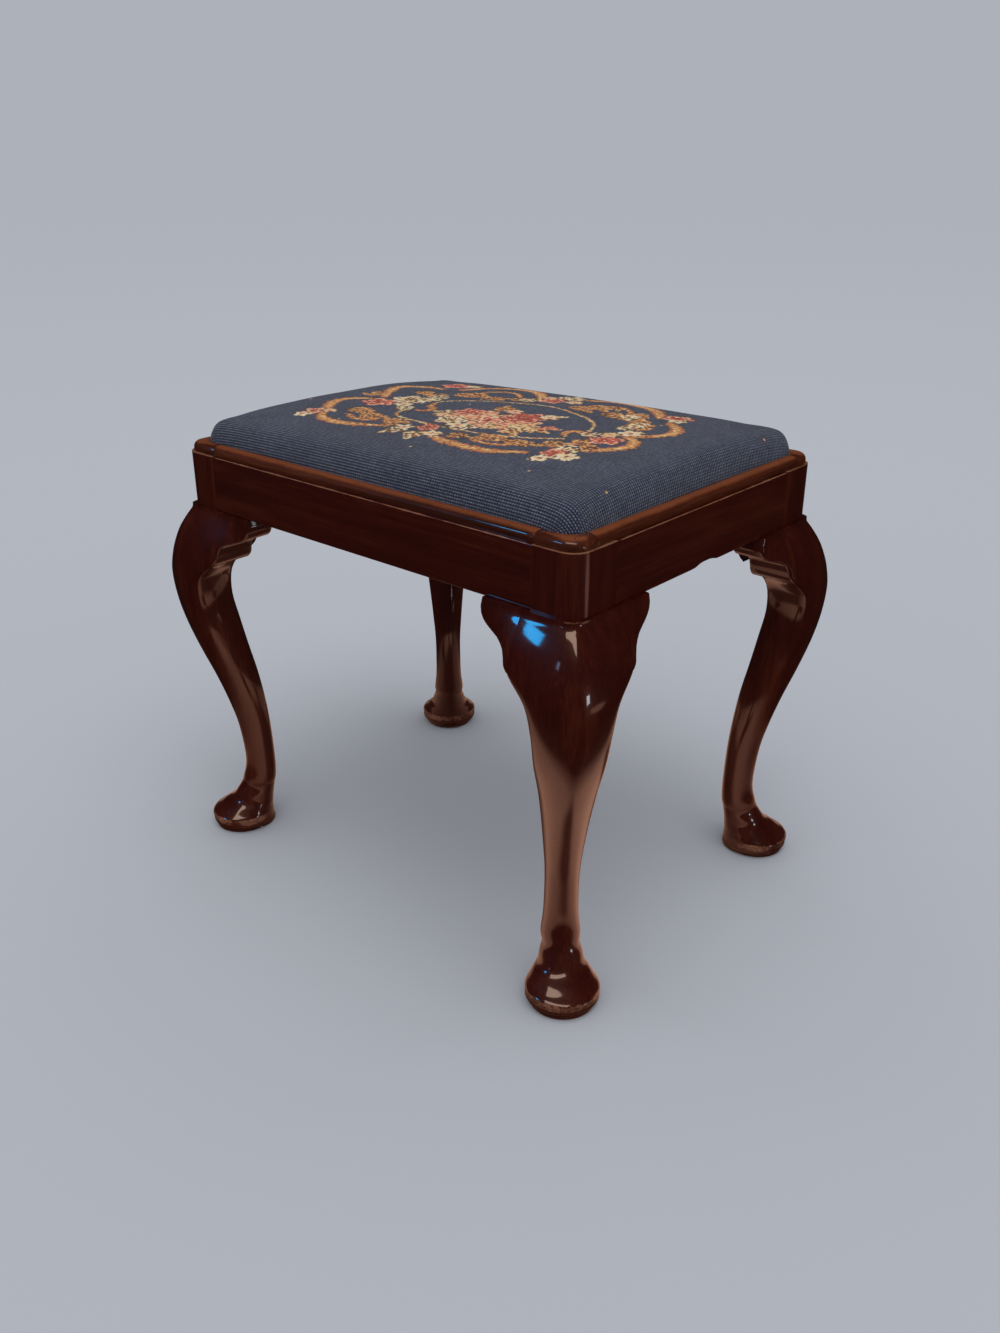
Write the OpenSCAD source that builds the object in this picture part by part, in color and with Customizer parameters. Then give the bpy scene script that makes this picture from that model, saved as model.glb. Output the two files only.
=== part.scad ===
// An upholstered stool: a mahogany frame on four cabriole legs, with a drop-in needlepoint seat.
// X runs along the length, Y from front to back, Z up from the floor under the stool's middle.

/* [Overall size] */
// Length of the rail frame, outside to outside
frame_l = 508; // [440:4:600]
// Depth of the rail frame, outside to outside
frame_d = 380; // [330:4:460]
// Height of the rails' top above the floor
frame_h = 441.5; // [390:0.5:500]

/* [Posts and rails] */
// Height of the rails
rail_h = 55.5; // [48:0.5:66]
// Thickness of the rails
rail_t = 27; // [25:0.5:30]
// Radius of the frame's rounded outer corners
corner_r = 18; // [12:1:20]
// Width of a post along the long rails
post_w = 46; // [44:0.5:50]
// Depth of a post along the short rails
post_d = 53; // [50:0.5:58]
// Thickness of the tenons
tenon_t = 10; // [8:0.5:12]
// Length of the tenons
tenon_l = 24; // [16:1:25]
// Shoulder above and below a tenon
tenon_shoulder = 8; // [6:0.5:12]
// Small bevel along the rails' top outer edge
arris = 0.8; // [0.4:0.1:1.5]
// Width of the shallow notch in the short rails' lower edge
notch_w = 36; // [20:1:60]
// Depth of that notch
notch_d = 3; // [2:0.5:5]

/* [Legs] */
// How far the knee stands out from the frame's corner, along the diagonal
knee_out = 28.2; // [20:0.2:34]
// Thickness of the knee along the diagonal
knee_thick = 64; // [56:1:70]
// Width of the knee across the diagonal
knee_across = 82; // [72:1:86]
// Reach of the knee under the rails, from the corner
knee_reach = 53; // [50:0.5:56]
// How far the ankle's front lies inside the corner, along the diagonal
ankle_in = 27.8; // [20:0.2:34]
// Thickness of the ankle along the diagonal
ankle_thick = 34.3; // [28:0.1:40]
// Width of the ankle across the diagonal
ankle_across = 29.4; // [24:0.2:36]
// Diameter of the pad foot
pad_dia = 70; // [64:1:80]
// How far the pad's middle lies inside the corner, along the diagonal
pad_in = 21; // [16:0.5:26]
// Height of the foot, up to where it runs into the ankle
pad_h = 60; // [50:1:70]
// Diameter of the thin disc under the pad
disc_dia = 62; // [56:1:64]
// Thickness of that disc
disc_h = 4; // [3:0.5:6]

/* [Knee blocks] */
// Length of a knee block along its rail
block_l = 45; // [38:1:56]
// Drop of a knee block below its rail
block_drop = 54; // [50:1:58]
// How far the outer end of a knee block stands out from the rail
block_proud = 5; // [3:0.5:8]

/* [Moulding] */
// Ledge left between the rail's face and the moulding
mould_set = 2.5; // [1:0.5:4]
// Width of the moulding
mould_w = 11; // [9:0.5:12]
// Height of the moulding
mould_h = 10; // [8:0.5:12]
// Radius of the moulding's rounded outer edge
mould_r = 6.5; // [4:0.5:7.5]
// Inside radius of the moulding's corner pieces
well_r = 16.5; // [10:0.5:20]
// Diameter of the moulding pins
pin_dia = 1.6; // [1.2:0.1:2]
// How far the pins' heads are sunk below the moulding's top
pin_sunk = 3.5; // [2:0.5:5]

/* [Corner braces] */
// Length of a brace along each rail, from the post
brace_l = 45; // [36:1:60]
// Height of a brace
brace_h = 25; // [18:1:32]
// Height of the braces' lower face above the rails' lower edge
brace_up = 8; // [4:1:12]
// Diameter of the brace screws
screw_dia = 4; // [3:0.5:5]
// Wood left under a screw's head
screw_seat = 10; // [8:1:12]
// How far the screws bite into the rails
screw_bite = 13; // [10:1:16]
// Thickness of a screw's head
screw_head_t = 2.5; // [2:0.5:3.5]

/* [Seat frame] */
// Clearance between the seat and the moulding, and over the rails
seat_gap = 0.35; // [0.3:0.05:0.6]
// Width of the seat frame's rails
seat_rail_w = 45; // [42:1:55]
// Thickness of the seat frame
seat_rail_t = 14; // [13:0.5:15]
// Radius of the seat frame's corners
seat_frame_r = 26; // [22:1:32]
// Width of the bevel round the seat frame's top
bevel_w = 13; // [12:0.5:15]
// Height of that bevel
bevel_h = 10.8; // [9.8:0.1:11.8]
// Diameter of the seat frame's dowels
dowel_dia = 8; // [6:0.5:9]
// Length of those dowels
dowel_l = 44; // [30:1:50]

/* [Webbing and covers] */
// Clearance between two layers of cloth or hair
layer_gap = 0.3; // [0.2:0.05:0.4]
// Width of the webbing
web_w = 50; // [40:1:55]
// Thickness of the webbing
web_t = 1.2; // [1:0.1:1.4]
// Thickness of the hessian
hessian_t = 0.6; // [0.4:0.1:0.8]
// Thickness of the calico
calico_t = 0.6; // [0.4:0.1:0.8]
// Thickness of the needlepoint cover
cover_t = 2; // [1.6:0.1:2.4]
// Width of the cover's turn-in under the seat frame
turn_in = 26; // [24:1:34]
// Thickness of the dust cloth
dust_t = 0.5; // [0.3:0.1:0.8]
// How far the dust cloth's edge lies inside the seat's edge
dust_in = 8; // [4:1:12]

/* [Cushion] */
// Rise of the cushion's rounded shoulder above the moulding
shoulder_h = 25; // [23:0.5:28]
// How far the shoulder takes to round over
shoulder_run = 5; // [4:0.5:8.5]
// Extra rise of the crown along the middle of the depth
crown_h = 5; // [3:0.5:12]
// Share of the shoulder that is lost at the corners
corner_drop = 0.22; // [0:0.01:0.28]
// The old stuffing lies unevenly: how much higher the right end is than the middle
lean_l = 3.5; // [-4:0.5:4]
// How much higher the front edge is than the middle
lean_d = 2; // [-3:0.5:3]
// How much higher the front left and back right corners are than the middle
twist = 2; // [-3:0.5:3]

/* [Tacks] */
// Diameter of a tack's shank
tack_dia = 1.6; // [1.2:0.1:2]
// Diameter of a tack's head
tack_head = 6; // [5:0.5:7]
// Thickness of a tack's head
tack_head_t = 0.8; // [0.5:0.1:1]
// Length of a tack's shank
tack_l = 12; // [9:0.5:12.5]
// Distance of the cover's tacks from the seat's edge
tack_in = 18.5; // [18:0.5:20]
// Spacing of the cover's tacks
tack_pitch = 45; // [30:1:60]
// Clearance round a tenon, pin, dowel, screw or tack in its hole
fit_gap = 0.1; // [0.05:0.05:0.15]

/* [Hidden] */

mahogany = [0.26, 0.09, 0.05];
worn_mahogany = [0.45, 0.18, 0.08];
beech = [0.72, 0.55, 0.36];
jute = [0.62, 0.50, 0.33];
linen = [0.85, 0.80, 0.70];
hair = [0.20, 0.16, 0.13];
navy = [0.13, 0.16, 0.24];
cambric = [0.08, 0.08, 0.09];
steel = [0.35, 0.36, 0.38];
$fn = 48;

diag = sqrt(2);
half_l = frame_l / 2;
half_d = frame_d / 2;
rail_z = frame_h - rail_h;
rail_long = frame_l - 2 * post_w;
rail_short = frame_d - 2 * post_d;
// Overrun of a cut past the face that it leaves
cut = 1;
// Spare depth of a hole past the end of the tenon, pin or screw in it
spare = 1;
notch_curve = (notch_w * notch_w / 4 + notch_d * notch_d) / (2 * notch_d);
screw_up = brace_up + brace_h / 2;
// A stub of the post runs down inside the knee
core_w = 22;
core_drop = 22;

function mix(a, b, t) = a + (b - a) * t;

// Corners are worked in a frame of their own: the sharp corner is the origin, inward is positive.
module at_corner(sx, sy) {
    translate([sx * half_l, sy * half_d, 0])
        mirror([sx > 0 ? 1 : 0, 0, 0])
            mirror([0, sy > 0 ? 1 : 0, 0])
                children();
}
// Swaps the two sides of a corner
module other_side() {
    mirror([1, -1, 0])
        children();
}

// Skins a chain of rings, each anticlockwise seen from above, and closes it at both ends
function middle(ring) = [for (c = [0:2]) sum([for (p = ring) p[c]]) / len(ring)];
function sum(v, i = 0) = i == len(v) ? 0 : v[i] + sum(v, i + 1);
module skin(rings) {
    n = len(rings[0]);
    last = len(rings) - 1;
    polyhedron(
        points = concat([for (r = rings) each r], [middle(rings[0]), middle(rings[last])]),
        faces = concat(
            [for (i = [0:n - 1]) [(last + 1) * n, i, (i + 1) % n]],
            [for (k = [0:last - 1]) for (i = [0:n - 1]) [k * n + i, (k + 1) * n + i, (k + 1) * n + (i + 1) % n]],
            [for (k = [0:last - 1]) for (i = [0:n - 1]) [k * n + i, (k + 1) * n + (i + 1) % n, k * n + (i + 1) % n]],
            [for (i = [0:n - 1]) [(last + 1) * n + 1, last * n + (i + 1) % n, last * n + i]]));
}

// Legs: each row is [height, front, back, widest place, half width, front and back squareness].
// Front and back are measured outward from the corner along the diagonal.
ankle_front = -ankle_in;
ankle_back = -ankle_in - ankle_thick;
knee_back = knee_out - knee_thick;
pad_front = pad_dia / 2 - pad_in;
pad_back = -pad_dia / 2 - pad_in;
block_back = -knee_reach * diag;
shank_h = rail_z - pad_h;

// Foot: share of the foot's height, and of the swing from the ankle to the pad in front, behind, sideways
function foot_row(h, f, b, w) = let(front = mix(ankle_front, pad_front, f), back = mix(ankle_back, pad_back, b))
    [pad_h * h, front, back, (front + back) / 2, mix(ankle_across, pad_dia, w) / 2, 2, 2];
// Shank: share of its height, and of the swing from the ankle to the knee in front, behind, sideways
function shank_row(h, f, b, m, w, n) = let(
    front = mix(ankle_front, knee_out, f), back = mix(ankle_back, knee_back, b))
    [pad_h + shank_h * h, front, back, mix(back, front, m), mix(ankle_across, knee_across, w) / 2, n, n];
// Knee: share of the blocks' drop, of the knee's front, of the square back, of the block's width
function knee_row(h, f, b, m, w, n) = let(front = knee_out * f, back = block_back * b)
    [rail_z - block_drop * h, front, back, mix(back, front, m), knee_reach * w, n, mix(n, 1.5, 0.5)];

leg_rows = [
    foot_row(0.03, 0.86, 0.86, 0.75),
    foot_row(0.072, 0.87, 0.85, 0.72),
    foot_row(0.11, 0.96, 1.02, 0.98),
    foot_row(0.17, 0.97, 1.05, 0.98),
    foot_row(0.27, 0.98, 1.05, 1.00),
    foot_row(0.36, 0.81, 1.02, 0.80),
    foot_row(0.45, 0.64, 0.89, 0.60),
    foot_row(0.56, 0.41, 0.78, 0.37),
    foot_row(0.70, 0.26, 0.55, 0.27),
    foot_row(0.85, 0.13, 0.27, 0.14),
    shank_row(0.00, 0.04, -0.01, 0.45, 0.15, 2.0),
    shank_row(0.07, -0.04, -0.03, 0.49, 0.06, 2.0),
    shank_row(0.20, 0.03, 0.04, 0.51, 0.05, 2.0),
    shank_row(0.30, 0.18, 0.17, 0.50, 0.14, 1.9),
    shank_row(0.40, 0.38, 0.37, 0.50, 0.26, 1.8),
    shank_row(0.50, 0.62, 0.64, 0.50, 0.41, 1.65),
    shank_row(0.60, 0.83, 0.89, 0.50, 0.62, 1.5),
    shank_row(0.69, 0.96, 1.09, 0.49, 0.74, 1.42),
    shank_row(0.775, 1.01, 1.00, 0.45, 0.95, 1.36),
    knee_row(1.00, 0.95, 0.65, 0.338, 0.972, 1.3),
    knee_row(0.74, 0.81, 0.76, 0.33, 1.04, 1.22),
    knee_row(0.48, 0.59, 0.93, 0.39, 1.03, 1.17),
    knee_row(0.24, 0.28, 1.00, 0.386, 0.98, 1.15),
    knee_row(0.09, 0.05, 1.00, 0.35, 0.95, 1.15),
    knee_row(0.00, 0.02, 1.00, 0.34, 0.943, 1.15)
];
knee_first = 19;
ring_points = 24;
ring_steps = 38;

// A smooth curve through the rows, u counted in rows
function row_at(u) = let(
    last = len(leg_rows) - 1, i = min(floor(u), last - 1), f = u - i,
    p0 = leg_rows[max(i - 1, 0)], p1 = leg_rows[i], p2 = leg_rows[i + 1], p3 = leg_rows[min(i + 2, last)])
    0.5 * (2 * p1 + (p2 - p0) * f + (2 * p0 - 5 * p1 + 4 * p2 - p3) * f * f
        + (3 * p1 - p0 - 3 * p2 + p3) * f * f * f);
function signed_pow(v, n) = sign(v) * pow(abs(v), n);
// One point of a leg's section: a rounded diamond across the diagonal, cut flat where the blocks join
function leg_point(r, a) = let(
    front = cos(a) >= 0, reach = front ? r[1] - r[3] : r[3] - r[2], n = front ? r[5] : r[6],
    s = r[3] + reach * signed_pow(cos(a), 2 / n), t = r[4] * signed_pow(sin(a), 2 / n))
    [min((t - s) / diag, knee_reach), min((-t - s) / diag, knee_reach), r[0]];
leg_rings = [for (k = [0:ring_steps]) let(r = row_at(k * (len(leg_rows) - 1) / ring_steps))
    [for (i = [0:ring_points - 1]) leg_point(r, 360 * i / ring_points)]];

// Post with its rounded outer corner
module post() {
    translate([corner_r, corner_r, 0])
        cylinder(r = corner_r, h = rail_h);
    translate([corner_r, 0, 0])
        cube([post_w - corner_r, post_d, rail_h]);
    translate([0, corner_r, 0])
        cube([post_w, post_d - corner_r, rail_h]);
}

// Tenon that starts at x = 0 and points to +x, on a rail whose outer face is y = 0
module tenon(gap = 0, extra = 0) {
    translate([0, (rail_t - tenon_t) / 2 - gap, tenon_shoulder - gap])
        cube([tenon_l + extra, tenon_t + 2 * gap, rail_h - 2 * (tenon_shoulder - gap)]);
}
module mortise(depth_at) {
    translate([depth_at, 0, rail_z])
        mirror([1, 0, 0])
            tenon(fit_gap, spare);
}

// Moulding and the pins that hold it; the corner pieces' places are in the corner's own frame
well_in = mould_set + mould_w;
arm_long = post_w;
arm_short = well_in + well_r;
mould_top = frame_h + mould_h;
pin_u = mould_set + mould_w / 2;
pin_depth = tenon_shoulder - spare - fit_gap;
// The elbow's outer pin lies this far from its end; the strips' pins lie at a share of the rail's length
pin_end = 8;
long_pin_share = 0.32;
short_pin_share = 0.25;
pin_corner = corner_r - (corner_r - pin_u) / diag;
corner_pins = [[arm_long - pin_end, pin_u], [pin_corner, pin_corner]];
long_pins = [for (i = [-1:1]) [i * rail_long * long_pin_share, pin_u]];
short_pins = [for (i = [-1, 1]) [i * rail_short * short_pin_share, pin_u]];
module pin_holes(places) {
    for (p = places)
        translate([p[0], p[1], frame_h - pin_depth])
            cylinder(d = pin_dia + 2 * fit_gap, h = pin_depth + mould_h + cut);
}
module pin_row(places) {
    for (p = places)
        translate([p[0], p[1], frame_h - pin_depth])
            cylinder(d = pin_dia, h = pin_depth + mould_h - pin_sunk);
}

module leg() {
    color(mahogany)
        difference() {
            union() {
                translate([0, 0, rail_z])
                    post();
                translate([corner_r, corner_r, rail_z - core_drop])
                    cube([core_w, core_w, core_drop + tenon_shoulder / 2]);
                translate([pad_in / diag, pad_in / diag, 0])
                    cylinder(d = disc_dia, h = disc_h);
                skin(leg_rings);
            }
            mortise(post_w);
            other_side()
                mortise(post_d);
            pin_holes(corner_pins);
        }
}

// Rails, drawn along x about the middle, outer face at y = 0
module rail(len, pins, notched) {
    color(mahogany)
        difference() {
            union() {
                translate([0, 0, rail_z])
                    rotate([90, 0, 90])
                        linear_extrude(height = len, center = true)
                            polygon([[0, 0], [rail_t, 0], [rail_t, rail_h], [arris, rail_h], [0, rail_h - arris]]);
                for (s = [0, 1])
                    mirror([s, 0, 0])
                        translate([len / 2, 0, rail_z])
                            tenon();
            }
            pin_holes(pins);
            for (s = [-1, 1])
                translate([s * (len - brace_l) / 2, rail_t + cut, rail_z + screw_up])
                    rotate([90, 0, 0])
                        cylinder(d = screw_dia + 2 * fit_gap, h = screw_bite + spare + cut);
            if (notched)
                translate([0, -cut, rail_z + notch_d - notch_curve])
                    rotate([-90, 0, 0])
                        cylinder(r = notch_curve, h = rail_t + 2 * cut, $fn = 96);
        }
}
module long_side(s) {
    translate([0, s * half_d, 0])
        mirror([0, s > 0 ? 1 : 0, 0])
            children();
}
module short_side(s) {
    translate([s * half_l, 0, 0])
        rotate([0, 0, s * 90])
            children();
}

// Knee blocks: glued under a rail against the leg; a leg's skin sets how far they stand out
proud_steps = 14;
function proud_error(r, p) = let(s = (p - knee_reach) / diag, t = (p + knee_reach) / diag)
    pow(abs(s - r[3]) / (r[1] - r[3]), r[5]) + pow(t / r[4], r[5]) - 1;
function proud_between(r, lo, hi, i) = let(mid = (lo + hi) / 2)
    i == 0 ? mid : proud_error(r, mid) > 0 ? proud_between(r, lo, mid, i - 1) : proud_between(r, mid, hi, i - 1);
function proud(r) = let(widest = (r[4] + r[3]) / diag)
    (r[4] - r[3]) / diag < knee_reach ? widest : proud_between(r, widest, knee_reach, proud_steps);
block_side = [for (k = [0:10]) let(r = row_at(mix(knee_first, len(leg_rows) - 1, k / 10))) [-proud(r), r[0] - rail_z]];
block_deep = max([for (p = block_side) -p[0]]);
block_outline = [for (p = [
    [0, 0], [0.96, 0], [1, 0.14], [0.99, 0.25], [0.94, 0.34], [0.85, 0.41], [0.70, 0.46], [0.50, 0.50],
    [0.35, 0.56], [0.25, 0.63], [0.19, 0.74], [0.155, 0.87], [0.09, 0.95], [0, 1]])
    [p[0] * block_l, -p[1] * block_drop]];
block_plan = [
    [0, rail_t], [block_l, rail_t], [block_l, -block_proud], [0.8 * block_l, -1.4 * block_proud],
    [0.55 * block_l, -mix(block_proud, block_deep, 0.45)], [0.3 * block_l, -mix(block_proud, block_deep, 0.78)],
    [0, -block_deep - cut]];
module knee_block() {
    color(mahogany)
        translate([knee_reach, 0, rail_z])
            intersection() {
                translate([0, rail_t, 0])
                    rotate([90, 0, 0])
                        linear_extrude(height = rail_t + block_deep + 2 * cut)
                            polygon(block_outline);
                rotate([90, 0, 90])
                    linear_extrude(height = block_l + cut)
                        polygon(concat([[rail_t, block_side[0][1]]], block_side, [[rail_t, 0]]));
                translate([0, 0, -block_drop - cut])
                    linear_extrude(height = block_drop + cut)
                        polygon(block_plan);
            }
}
module knee_block_short() {
    other_side()
        knee_block();
}

// Moulding section: u runs inward from the rail's face
function moulding_section(inner) = concat(
    [[inner, 0], [inner, mould_h]],
    [for (a = [90:15:180]) [mould_set + mould_r + mould_r * cos(a), mould_h - mould_r + mould_r * sin(a)]],
    [[mould_set, 0]]);
module moulding_bar(len, inner) {
    rotate([90, 0, 90])
        linear_extrude(height = len)
            polygon(moulding_section(inner));
}
module moulding_strip(len, pins) {
    color(worn_mahogany)
        difference() {
            translate([-len / 2, 0, frame_h])
                moulding_bar(len, well_in);
            pin_holes(pins);
        }
}
module moulding_corner() {
    color(worn_mahogany)
        difference() {
            translate([0, 0, frame_h]) {
                translate([corner_r, 0, 0])
                    moulding_bar(arm_long - corner_r, arm_short);
                other_side()
                    translate([corner_r, 0, 0])
                        moulding_bar(arm_short - corner_r, arm_short);
                translate([corner_r, corner_r, 0])
                    rotate([0, 0, 180])
                        rotate_extrude(angle = 90)
                            polygon([for (p = moulding_section(corner_r)) [corner_r - p[0], p[1]]]);
            }
            translate([arm_short, arm_short, frame_h - cut])
                cylinder(r = well_r, h = mould_h + 2 * cut);
            translate([arm_short, well_in, frame_h - cut])
                cube([arm_long, arm_long, mould_h + 2 * cut]);
            translate([well_in, arm_short, frame_h - cut])
                cube([arm_long, arm_long, mould_h + 2 * cut]);
            pin_holes(corner_pins);
        }
}
module moulding_pins() {
    color(steel) {
        for (sx = [-1, 1], sy = [-1, 1])
            at_corner(sx, sy)
                pin_row(corner_pins);
        for (s = [-1, 1]) {
            long_side(s)
                pin_row(long_pins);
            short_side(s)
                pin_row(short_pins);
        }
    }
}

// Corner braces fit round the posts' inner corners
module brace_screw_hole(post) {
    translate([post + brace_l / 2, rail_t - cut, rail_z + screw_up])
        rotate([-90, 0, 0])
            cylinder(d = screw_dia + 2 * fit_gap, h = screw_seat + 2 * cut);
    translate([post + brace_l / 2, rail_t + screw_seat, rail_z + screw_up])
        rotate([-90, 0, 0])
            cylinder(d = 2 * screw_dia + 4 * fit_gap, h = brace_l + post_d);
}
module brace() {
    color(beech)
        difference() {
            translate([0, 0, rail_z + brace_up])
                linear_extrude(height = brace_h)
                    polygon([
                        [rail_t, post_d], [post_w, post_d], [post_w, rail_t],
                        [post_w + brace_l, rail_t], [rail_t, post_d + brace_l]]);
            brace_screw_hole(post_w);
            other_side()
                brace_screw_hole(post_d);
        }
}
module brace_screw(post) {
    translate([post + brace_l / 2, rail_t - screw_bite, rail_z + screw_up])
        rotate([-90, 0, 0]) {
            cylinder(d = screw_dia, h = screw_bite + screw_seat + screw_head_t / 2);
            translate([0, 0, screw_bite + screw_seat])
                cylinder(d = 2 * screw_dia, h = screw_head_t);
        }
}
module brace_screws() {
    color(steel)
        for (sx = [-1, 1], sy = [-1, 1])
            at_corner(sx, sy) {
                brace_screw(post_w);
                other_side()
                    brace_screw(post_d);
            }
}

// Drop-in seat: heights of its layers, from the dust cloth up
seat_x = half_l - well_in - seat_gap;
seat_y = half_d - well_in - seat_gap;
seat_r = well_r - seat_gap;
dust_z = frame_h + seat_gap;
turn_z = dust_z + dust_t + layer_gap;
board_z = turn_z + cover_t + layer_gap;
board_top = board_z + seat_rail_t;
hessian_z = board_top + 2 * web_t + 2 * layer_gap;
stuffing_z = hessian_z + hessian_t + layer_gap;
calico_in = cover_t + layer_gap;
board_in = calico_in + calico_t + layer_gap;
board_x = seat_x - board_in;
board_y = seat_y - board_in;
hole_x = board_x - seat_rail_w;
hole_y = board_y - seat_rail_w;

module rounded_slab(hx, hy, r, h) {
    linear_extrude(height = h) {
        square([2 * hx, 2 * (hy - r)], center = true);
        square([2 * (hx - r), 2 * hy], center = true);
        for (sx = [-1, 1], sy = [-1, 1])
            translate([sx * (hx - r), sy * (hy - r)])
                circle(r = r);
    }
}
// Section of the seat frame across one way, its top edges bevelled
module board_section(half, len) {
    translate([0, len / 2, 0])
        rotate([90, 0, 0])
            linear_extrude(height = len)
                polygon([
                    [-half, 0], [half, 0], [half, seat_rail_t - bevel_h],
                    [half - bevel_w, seat_rail_t], [bevel_w - half, seat_rail_t], [-half, seat_rail_t - bevel_h]]);
}
dowel_side = seat_rail_w * 0.22;
module dowel_places() {
    for (sx = [-1, 1], sy = [-1, 1], e = [-dowel_side, dowel_side])
        translate([sx * (board_x - seat_rail_w / 2 + e), sy * hole_y, board_z + seat_rail_t / 2])
            rotate([90, 0, 0])
                children();
}
module seat_dowels() {
    color(beech)
        dowel_places()
            cylinder(d = dowel_dia, h = dowel_l, center = true);
}
module tack() {
    translate([0, 0, -tack_l])
        cylinder(d = tack_dia, h = tack_l + tack_head_t / 2);
    cylinder(d = tack_head, h = tack_head_t);
}
module tack_hole() {
    translate([0, 0, -tack_l - layer_gap])
        cylinder(d = tack_dia + 2 * fit_gap, h = tack_l + layer_gap + web_t);
}

// Tacks under the seat, along its long and its short sides
long_tack_count = floor((half_l - post_w - tack_head - seat_rail_w / 3) / tack_pitch);
short_tack_count = floor((hole_y - dowel_l / 2 - tack_head) / tack_pitch);
module cover_tack_places() {
    for (s = [-1, 1]) {
        for (i = [-long_tack_count:long_tack_count])
            translate([i * tack_pitch, s * (seat_y - tack_in), dust_z])
                mirror([0, 0, 1])
                    children();
        for (i = [-short_tack_count:short_tack_count])
            translate([s * (seat_x - tack_in), i * tack_pitch, dust_z])
                mirror([0, 0, 1])
                    children();
    }
}
// Tacks through the webbing's ends, and the straps' margins past the bevel, a tack and a crossing
web_lap = 3;
web_tack_edge = 10;
web_ramp = 10;
web_end = bevel_w + web_lap;
web_tack_in = web_end + web_tack_edge;
long_webs = [-1, 0, 1];
cross_webs = [-1.5, -0.5, 0.5, 1.5];
long_pitch = 2 * hole_y / len(long_webs);
cross_pitch = 2 * hole_x / len(cross_webs);
module web_tack_places() {
    for (s = [-1, 1], e = [-1, 0, 1]) {
        for (j = long_webs)
            translate([s * (board_x - web_tack_in), j * long_pitch + e * web_w / 3, board_top + web_t])
                children();
        for (i = cross_webs)
            translate([i * cross_pitch + e * web_w / 3, s * (board_y - web_tack_in), board_top + web_t])
                children();
    }
}
module seat_board() {
    color(beech)
        difference() {
            translate([0, 0, board_z])
                intersection() {
                    rounded_slab(board_x, board_y, seat_frame_r, seat_rail_t);
                    board_section(board_x, frame_d);
                    rotate([0, 0, 90])
                        board_section(board_y, frame_l);
                    children();
                }
            dowel_places()
                cylinder(d = dowel_dia + 2 * fit_gap, h = dowel_l + spare, center = true);
            cover_tack_places()
                tack_hole();
            web_tack_places()
                tack_hole();
        }
}
module seat_board_long(s) {
    seat_board()
        translate([-frame_l / 2, s > 0 ? hole_y : -hole_y - frame_d, -cut])
            cube([frame_l, frame_d, seat_rail_t + 2 * cut]);
}
module seat_board_short(s) {
    seat_board()
        translate([s > 0 ? hole_x : -hole_x - frame_l, -hole_y, -cut])
            cube([frame_l, 2 * hole_y, seat_rail_t + 2 * cut]);
}

// Webbing: a strap runs over some of the crossing straps and under the others
web_step = web_t + layer_gap;
web_flat = web_w / 2 + web_lap;
module strap(half, crossings, first_over) {
    n = len(crossings);
    low = [
        [-half, 0], [crossings[0] - web_flat - web_ramp, 0],
        for (k = [0:n - 1]) let(z = (k + first_over) % 2 * web_step)
            each [[crossings[k] - web_flat, z], [crossings[k] + web_flat, z]],
        [crossings[n - 1] + web_flat + web_ramp, 0], [half, 0]];
    high = [for (k = [len(low) - 1:-1:0]) [low[k][0], low[k][1] + web_t]];
    color(jute)
        difference() {
            translate([0, web_w / 2, board_top])
                rotate([90, 0, 0])
                    linear_extrude(height = web_w)
                        polygon(concat(low, high));
            for (s = [-1, 1], e = [-1, 0, 1])
                translate([s * (half + web_end - web_tack_in), e * web_w / 3, board_top + web_t])
                    tack_hole();
        }
}
module webbing_long(k) {
    translate([0, long_webs[k] * long_pitch, 0])
        strap(board_x - web_end, [for (i = cross_webs) i * cross_pitch], k % 2);
}
module webbing_cross(k) {
    translate([cross_webs[k] * cross_pitch, 0, 0])
        rotate([0, 0, 90])
            strap(board_y - web_end, [for (j = long_webs) j * long_pitch], (k + 1) % 2);
}
module webbing_tacks() {
    color(steel)
        web_tack_places()
            tack();
}
module cover_tacks() {
    color(steel)
        cover_tack_places()
            tack();
}
module hessian() {
    color(jute)
        translate([0, 0, hessian_z])
            rounded_slab(board_x - web_end, board_y - web_end, seat_frame_r, hessian_t);
}
module dust_cloth() {
    color(cambric)
        difference() {
            translate([0, 0, dust_z])
                rounded_slab(seat_x - dust_in, seat_y - dust_in, seat_r, dust_t);
            cover_tack_places()
                tack_hole();
        }
}

// The cushion's surface over a point, from its distance inside the seat's edge
function edge_in(x, y) = let(qx = abs(x) - seat_x + seat_r, qy = abs(y) - seat_y + seat_r)
    seat_r - norm([max(qx, 0), max(qy, 0)]) - min(max(qx, qy), 0);
function cushion_z(x, y) = let(u = x / seat_x, v = y / seat_y)
    mould_top + (1 - exp(-max(edge_in(x, y), 0) / shoulder_run))
        * (shoulder_h * (1 - corner_drop * pow(abs(u * v), 3)) + crown_h * (1 - v * v)
            + lean_l * u - lean_d * v + twist * u * v);
// A ring round the seat, a rounded rectangle with 10 points a corner and side
function seat_ring(hx, hy, r) = [for (q = [0:3]) let(
    cx = [1, -1, -1, 1][q] * (hx - r), cy = [1, 1, -1, -1][q] * (hy - r),
    nx = [-1, -1, 1, 1][q] * (hx - r), ny = [1, -1, -1, 1][q] * (hy - r),
    ex = r * cos(90 * q + 90), ey = r * sin(90 * q + 90))
    each concat(
        [for (i = [0:4]) [cx + r * cos(90 * q + 22.5 * i), cy + r * sin(90 * q + 22.5 * i)]],
        [for (i = [1:5]) [mix(cx, nx, i / 6) + ex, mix(cy, ny, i / 6) + ey]])];
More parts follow.
